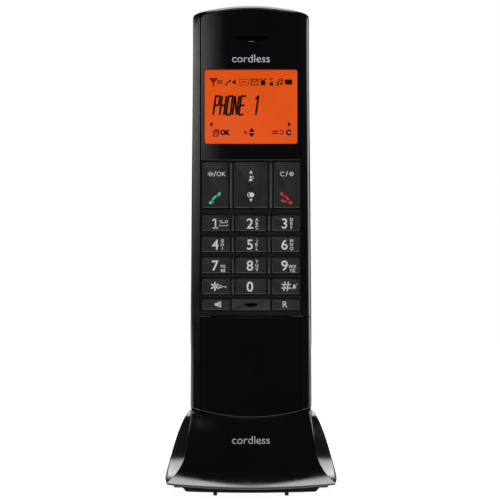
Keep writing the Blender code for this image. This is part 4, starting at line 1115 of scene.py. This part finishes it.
def foot_word():
    """A generic word on the foot's sloping front, wrapped onto its surface."""
    word = lettering("cordless", 3.1, 0.0, 22.6, 0.0, 15.4)
    for vert in word.verts:
        nose, ridge_x, ridge_y, bow = front_shape(vert.co.z)
        vert.co.y += nose + (ridge_y - nose) * (abs(vert.co.x) / ridge_x) ** bow
    show("foot_word", word, WORD_INK, "base")


def tray():
    low, step, high = TRAY_LOW.z, TRAY_LOW.z + 2.3, TRAY_HIGH.z
    levels = ((low, 8.3), (low + 0.1, 7.9), (low + 0.4, 7.5), (low + 0.9, 7.2), (step - 0.3, 6.2), (step, 5.8))
    rings = [at_z(foot_outline(FOOT_LOW.z, inset), z) for z, inset in levels]
    rings += [at_z(foot_outline(z + 1.6, FOOT_WALL + 0.4), z) for z in (step, high)]
    sinks = [round_z(centre(name).xy, ((low - 2, 3.3), (low, 3.2), (low + 0.3, 2.9), (low + 1.6, 2.9),
                                       (low + 1.6, 1.7), (high + 2, 1.7))) for name in BASE_SCREWS]
    seats = [loft([at_z(pad_outline(name, GAP), z) for z in (low - 2, low + 0.8)]) for name in FEET]
    # The tray takes the darkened matt black, painted shade under the foot
    show("tray", cut(loft(rings), gather(sinks + seats)), SHADED_BLACK, "base", "bottom_plate")


def pad_outline(name, grow):
    low, high = span(name)
    half = min(high.x - low.x, high.y - low.y) / 2 + grow
    return rounded_rectangle((low.x, low.y), (high.x, high.y), half * 0.98, 8, grow)


def feet():
    for name in FEET:
        low, high = span(name)
        levels = ((low.z, 0.3), (low.z + 0.06, 0.12), (low.z + 0.2, 0.02), (low.z + 0.35, 0.0), (high.z, 0.0))
        pad = loft([at_z(pad_outline(name, -inset), z) for z, inset in levels])
        show(name + "_rubber", pad, RUBBER, "base", name)


# ---------------------------------------------------------------- small parts

def battery_door():
    face, soft, top = DOOR_LOW.y + 1.5, 0.9, DOOR_HIGH.z
    insets = [(face - distance, rounding(distance, soft)) for distance in reversed(round_levels(soft, 8))]
    levels = [(y, -inset, max(3.0 - inset, 0.5)) for y, inset in [(DOOR_LOW.y, insets[0][1])] + insets]
    thumb = slab((-8.6, top - 20.6), (8.6, top - 9.2),
                 [(y, grow, 2.0 + grow) for y, grow in ((face + 1.0, 1.4), (face, 0.35), (face - 0.08, 0.12),
                                                        (face - 0.35, 0.0))])
    ribs = []
    rib_levels = [(y, -inset, 0.54 - inset) for y, inset in ((face - 0.6, 0.0), (face + 0.12, 0.0),
                                                             (face + 0.3, 0.1), (face + 0.38, 0.3))]
    for rib in range(5):
        half, half_height, z = 7.2 - 0.9 * rib, 0.55, top - 11.0 - 1.95 * rib
        ribs.append(slab((-half, z - half_height), (half, z + half_height), rib_levels, 6))
    plate = cut(slab(*front_corners("battery_door"), levels, 10), thumb)
    show("battery_cover", gather([plate] + ribs), MATT, "battery_door", "battery_door")


def cross_recess(solid, spot, face, outward, along_y):
    """A cross-shaped driver recess cut into a screw's head."""
    size = 1.3
    deep, proud = face - outward * 0.7, face + outward
    depth = (min(deep, proud), max(deep, proud))
    for half_a, half_b in ((size, size * 0.2), (size * 0.2, size)):
        across, along = (spot[0] - half_a, spot[0] + half_a), (spot[1] - half_b, spot[1] + half_b)
        solid = cut(solid, box(across, depth, along) if along_y else box(across, along, depth))
    return solid


def screws():
    for name in CASE_SCREWS:
        low, high = span(name)
        spot, head = ((low.x + high.x) / 2, (low.z + high.z) / 2), high.y - 2.3
        steps = [(low.y, 0.8), (low.y + 1.0, 1.2), (head, 1.2), (head, 2.3), (head + 0.2, 2.4), (head + 1.5, 2.4),
                 (high.y - 0.45, 2.1), (high.y - 0.12, 1.6), (high.y, 1.0)]
        solid = cross_recess(round_y(spot, steps), spot, high.y, 1, True)
        show(name + "_head", solid, STEEL, "handset", name)
    for name in BASE_SCREWS:
        low, high = span(name)
        spot = ((low.x + high.x) / 2, (low.y + high.y) / 2)
        steps = [(low.z, 1.2), (low.z + 0.08, 1.8), (low.z + 0.35, 2.3), (low.z + 0.8, 2.5), (low.z + 1.0, 2.45),
                 (low.z + 1.0, 1.2), (high.z - 1.0, 1.2), (high.z, 0.6)]
        solid = cross_recess(round_z(spot, steps), spot, low.z, -1, False)
        show(name + "_head", solid, STEEL, "base", name)


def sockets():
    """Two modular sockets with their latch notches and sprung wires."""
    for name in SOCKETS:
        low, high = span(name)
        x, soft, floor_z = (low.x + high.x) / 2, 0.35, low.z + 1.9
        levels = [(high.y - distance, -rounding(distance, soft), 0.5) for distance in round_levels(soft, 4)]
        shell = slab(*front_corners(name), levels + [(low.y, 0.0, 0.5)], 4)
        throat = []
        for y, grow in ((low.y + 2, 0.0), (high.y - 0.5, 0.0), (high.y + 0.5, 0.8)):
            shoulder, notch = floor_z + 6.8 + grow, floor_z + 8.2 + grow * 0.4
            right = [(4.9 + grow, floor_z - grow), (4.9 + grow, shoulder), (1.7, shoulder), (1.7, notch)]
            left = [(-across, z) for across, z in reversed(right)]
            throat.append(at_y([(x + across, z) for across, z in right + left], y))
        show(name + "_shell", cut(shell, loft(throat)), SOCKET, "base", name)
        under, over, tip = floor_z + 0.25, floor_z + 0.55, floor_z + 3.4
        profile = [(low.y + 2.2, under), (high.y - 3.2, under), (high.y - 3.2, over), (low.y + 5.0, tip),
                   (low.y + 4.4, tip), (high.y - 4.4, over), (low.y + 2.2, over)]
        pitch = 1.27
        places = [x + (wire - 2.5) * pitch for wire in range(6)]
        wires = [loft([[(level, y, z) for y, z in profile] for level in (across - 0.2, across + 0.2)])
                 for across in places]
        show(name + "_wires", gather(wires), GOLD, "base")


def inner_parts():
    """The CAD nodes that stay as they are get these materials."""
    # The receiver and microphone take the darkened matt black, painted shade inside their slots
    looks = {"keypad_mat": SILICONE, "handset_board": BOARD, "lcd_module": LCD_METAL, "earpiece_receiver": SHADED_BLACK,
             "microphone": SHADED_BLACK, "loudspeaker": MATT, "battery_cell_left": CELL, "battery_cell_right": CELL,
             "battery_contact_low": STEEL, "battery_contact_high": STEEL, "handset_contact_left": GOLD,
             "handset_contact_right": GOLD, "base_contact_left": GOLD, "base_contact_right": GOLD,
             "base_board": BOARD, "page_switch_board": BOARD}
    for name, look in looks.items():
        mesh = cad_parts[name].data
        mesh.materials.clear()
        mesh.materials.append(look)


# ---------------------------------------------------------------- studio

def ramp(tree, value, start, end):
    """0 before start, 1 after end and smooth between; end may lie below start."""
    before, after = (0.0, 1.0) if start < end else (1.0, 0.0)
    return ranged(tree, value, before, after, min(start, end), max(start, end), interpolation_type="SMOOTHSTEP")


def studio_world():
    """Soft studio light as a function of direction, which the camera itself sees as plain white.

    Azimuth is measured from the front, positive to the right, and elevation above the horizon.
    """
    world = bpy.data.worlds.new("studio")
    bpy.context.scene.world = world
    world.use_nodes = True
    tree = world.node_tree
    axes = node(tree, "SeparateXYZ")
    tree.links.new(node(tree, "TexCoord").outputs["Generated"], axes.inputs["Vector"])
    ahead = number(tree, "MULTIPLY", axes.outputs["Y"], -1.0)
    azimuth = number(tree, "ARCTAN2", axes.outputs["X"], ahead)
    aside = number(tree, "ABSOLUTE", azimuth)

    def window(strength, value, limits, elevations, forwards=()):
        """A soft box between azimuths and elevations, each given as ramp start and end in degrees.

        forwards limits how far the direction leans to the front, from 0 straight up to 1 at the camera.
        """
        ramps = [(ahead, start, end) for start, end in forwards]
        ramps += [(value, radians(start), radians(end)) for start, end in limits]
        ramps += [(axes.outputs["Z"], sin(radians(start)), sin(radians(end))) for start, end in elevations]
        for socket, start, end in ramps:
            strength = number(tree, "MULTIPLY", ramp(tree, socket, start, end), strength)
        return strength

    total = AMBIENT
    for lit in (
        window(LEFT_LIGHT, azimuth, ((-3.5, -9), (-128, -112)), ((-1.5, 8), (7.5, 4.8))),
        window(RIGHT_LIGHT, azimuth, ((84, 106), (128, 119)), ((-12, -8), (9, 6))),
        window(SIDE_GLEAM, aside, ((100, 132),), ((-14, -9), (2, -1))),
        window(HORIZON, aside, ((141, 147), (168, 161)), ((2, 4), (18, 12))),
        window(TOP_LIGHT, aside, (), ((75, 79.5),), ((0.19, 0.13), (-0.45, -0.3))),
        window(TABLE, aside, ((85, 60),), ((-9, -16),)),
    ):
        total = number(tree, "ADD", lit, total)
    camera_ray = node(tree, "LightPath").outputs["Is Camera Ray"]
    unseen = number(tree, "MULTIPLY", number(tree, "SUBTRACT", 1.0, camera_ray), total)
    background = fill(tree.nodes["Background"], Color=(1.0, 1.0, 1.0, 1.0))
    tree.links.new(number(tree, "ADD", unseen, camera_ray), background.inputs["Strength"])


def floor():
    """A plain pale floor, from just in front of the foot to far behind it, in metres."""
    front, rear, half = -0.038, 1.5, 1.5
    mesh = bpy.data.meshes.new("floor")
    corners = [(-half, front, 0), (half, front, 0), (half, rear, 0), (-half, rear, 0)]
    mesh.from_pydata(corners, [], [(0, 1, 2, 3)])
    look, _, shader = principled("pale_floor")
    fill(shader, Base_Color=(0.8, 0.8, 0.8, 1.0), Roughness=0.9, Specular_IOR_Level=0.0,
         Emission_Color=(1.0, 1.0, 1.0, 1.0), Emission_Strength=0.95)
    mesh.materials.append(look)
    place_in_scene("floor", mesh)


def camera():
    """Level, in front of the phone, with its middle near the middle of the frame; in metres."""
    distance, width, height = 0.950, 0.20445, 0.10014
    data = bpy.data.cameras.new("camera")
    data.sensor_width = 36.0
    data.lens = data.sensor_width * distance / width
    data.shift_x = -0.002
    made = place_in_scene("camera", data)
    made.location = (0.0, (FRONT + OFFSET.y) * MM - distance, height)
    made.rotation_euler = (pi / 2, 0.0, 0.0)
    bpy.context.scene.camera = made


# ---------------------------------------------------------------- the whole picture

camera()
studio_world()
floor()
bpy.context.scene.view_settings.view_transform = "Standard"

front_housing()
rear_housing()
front_panel()
display()
keys()
keypad_bezel()
legends()
battery_door()
column()
column_glass()
page_button()
cradle()
foot()
foot_word()
tray()
feet()
screws()
sockets()
inner_parts()
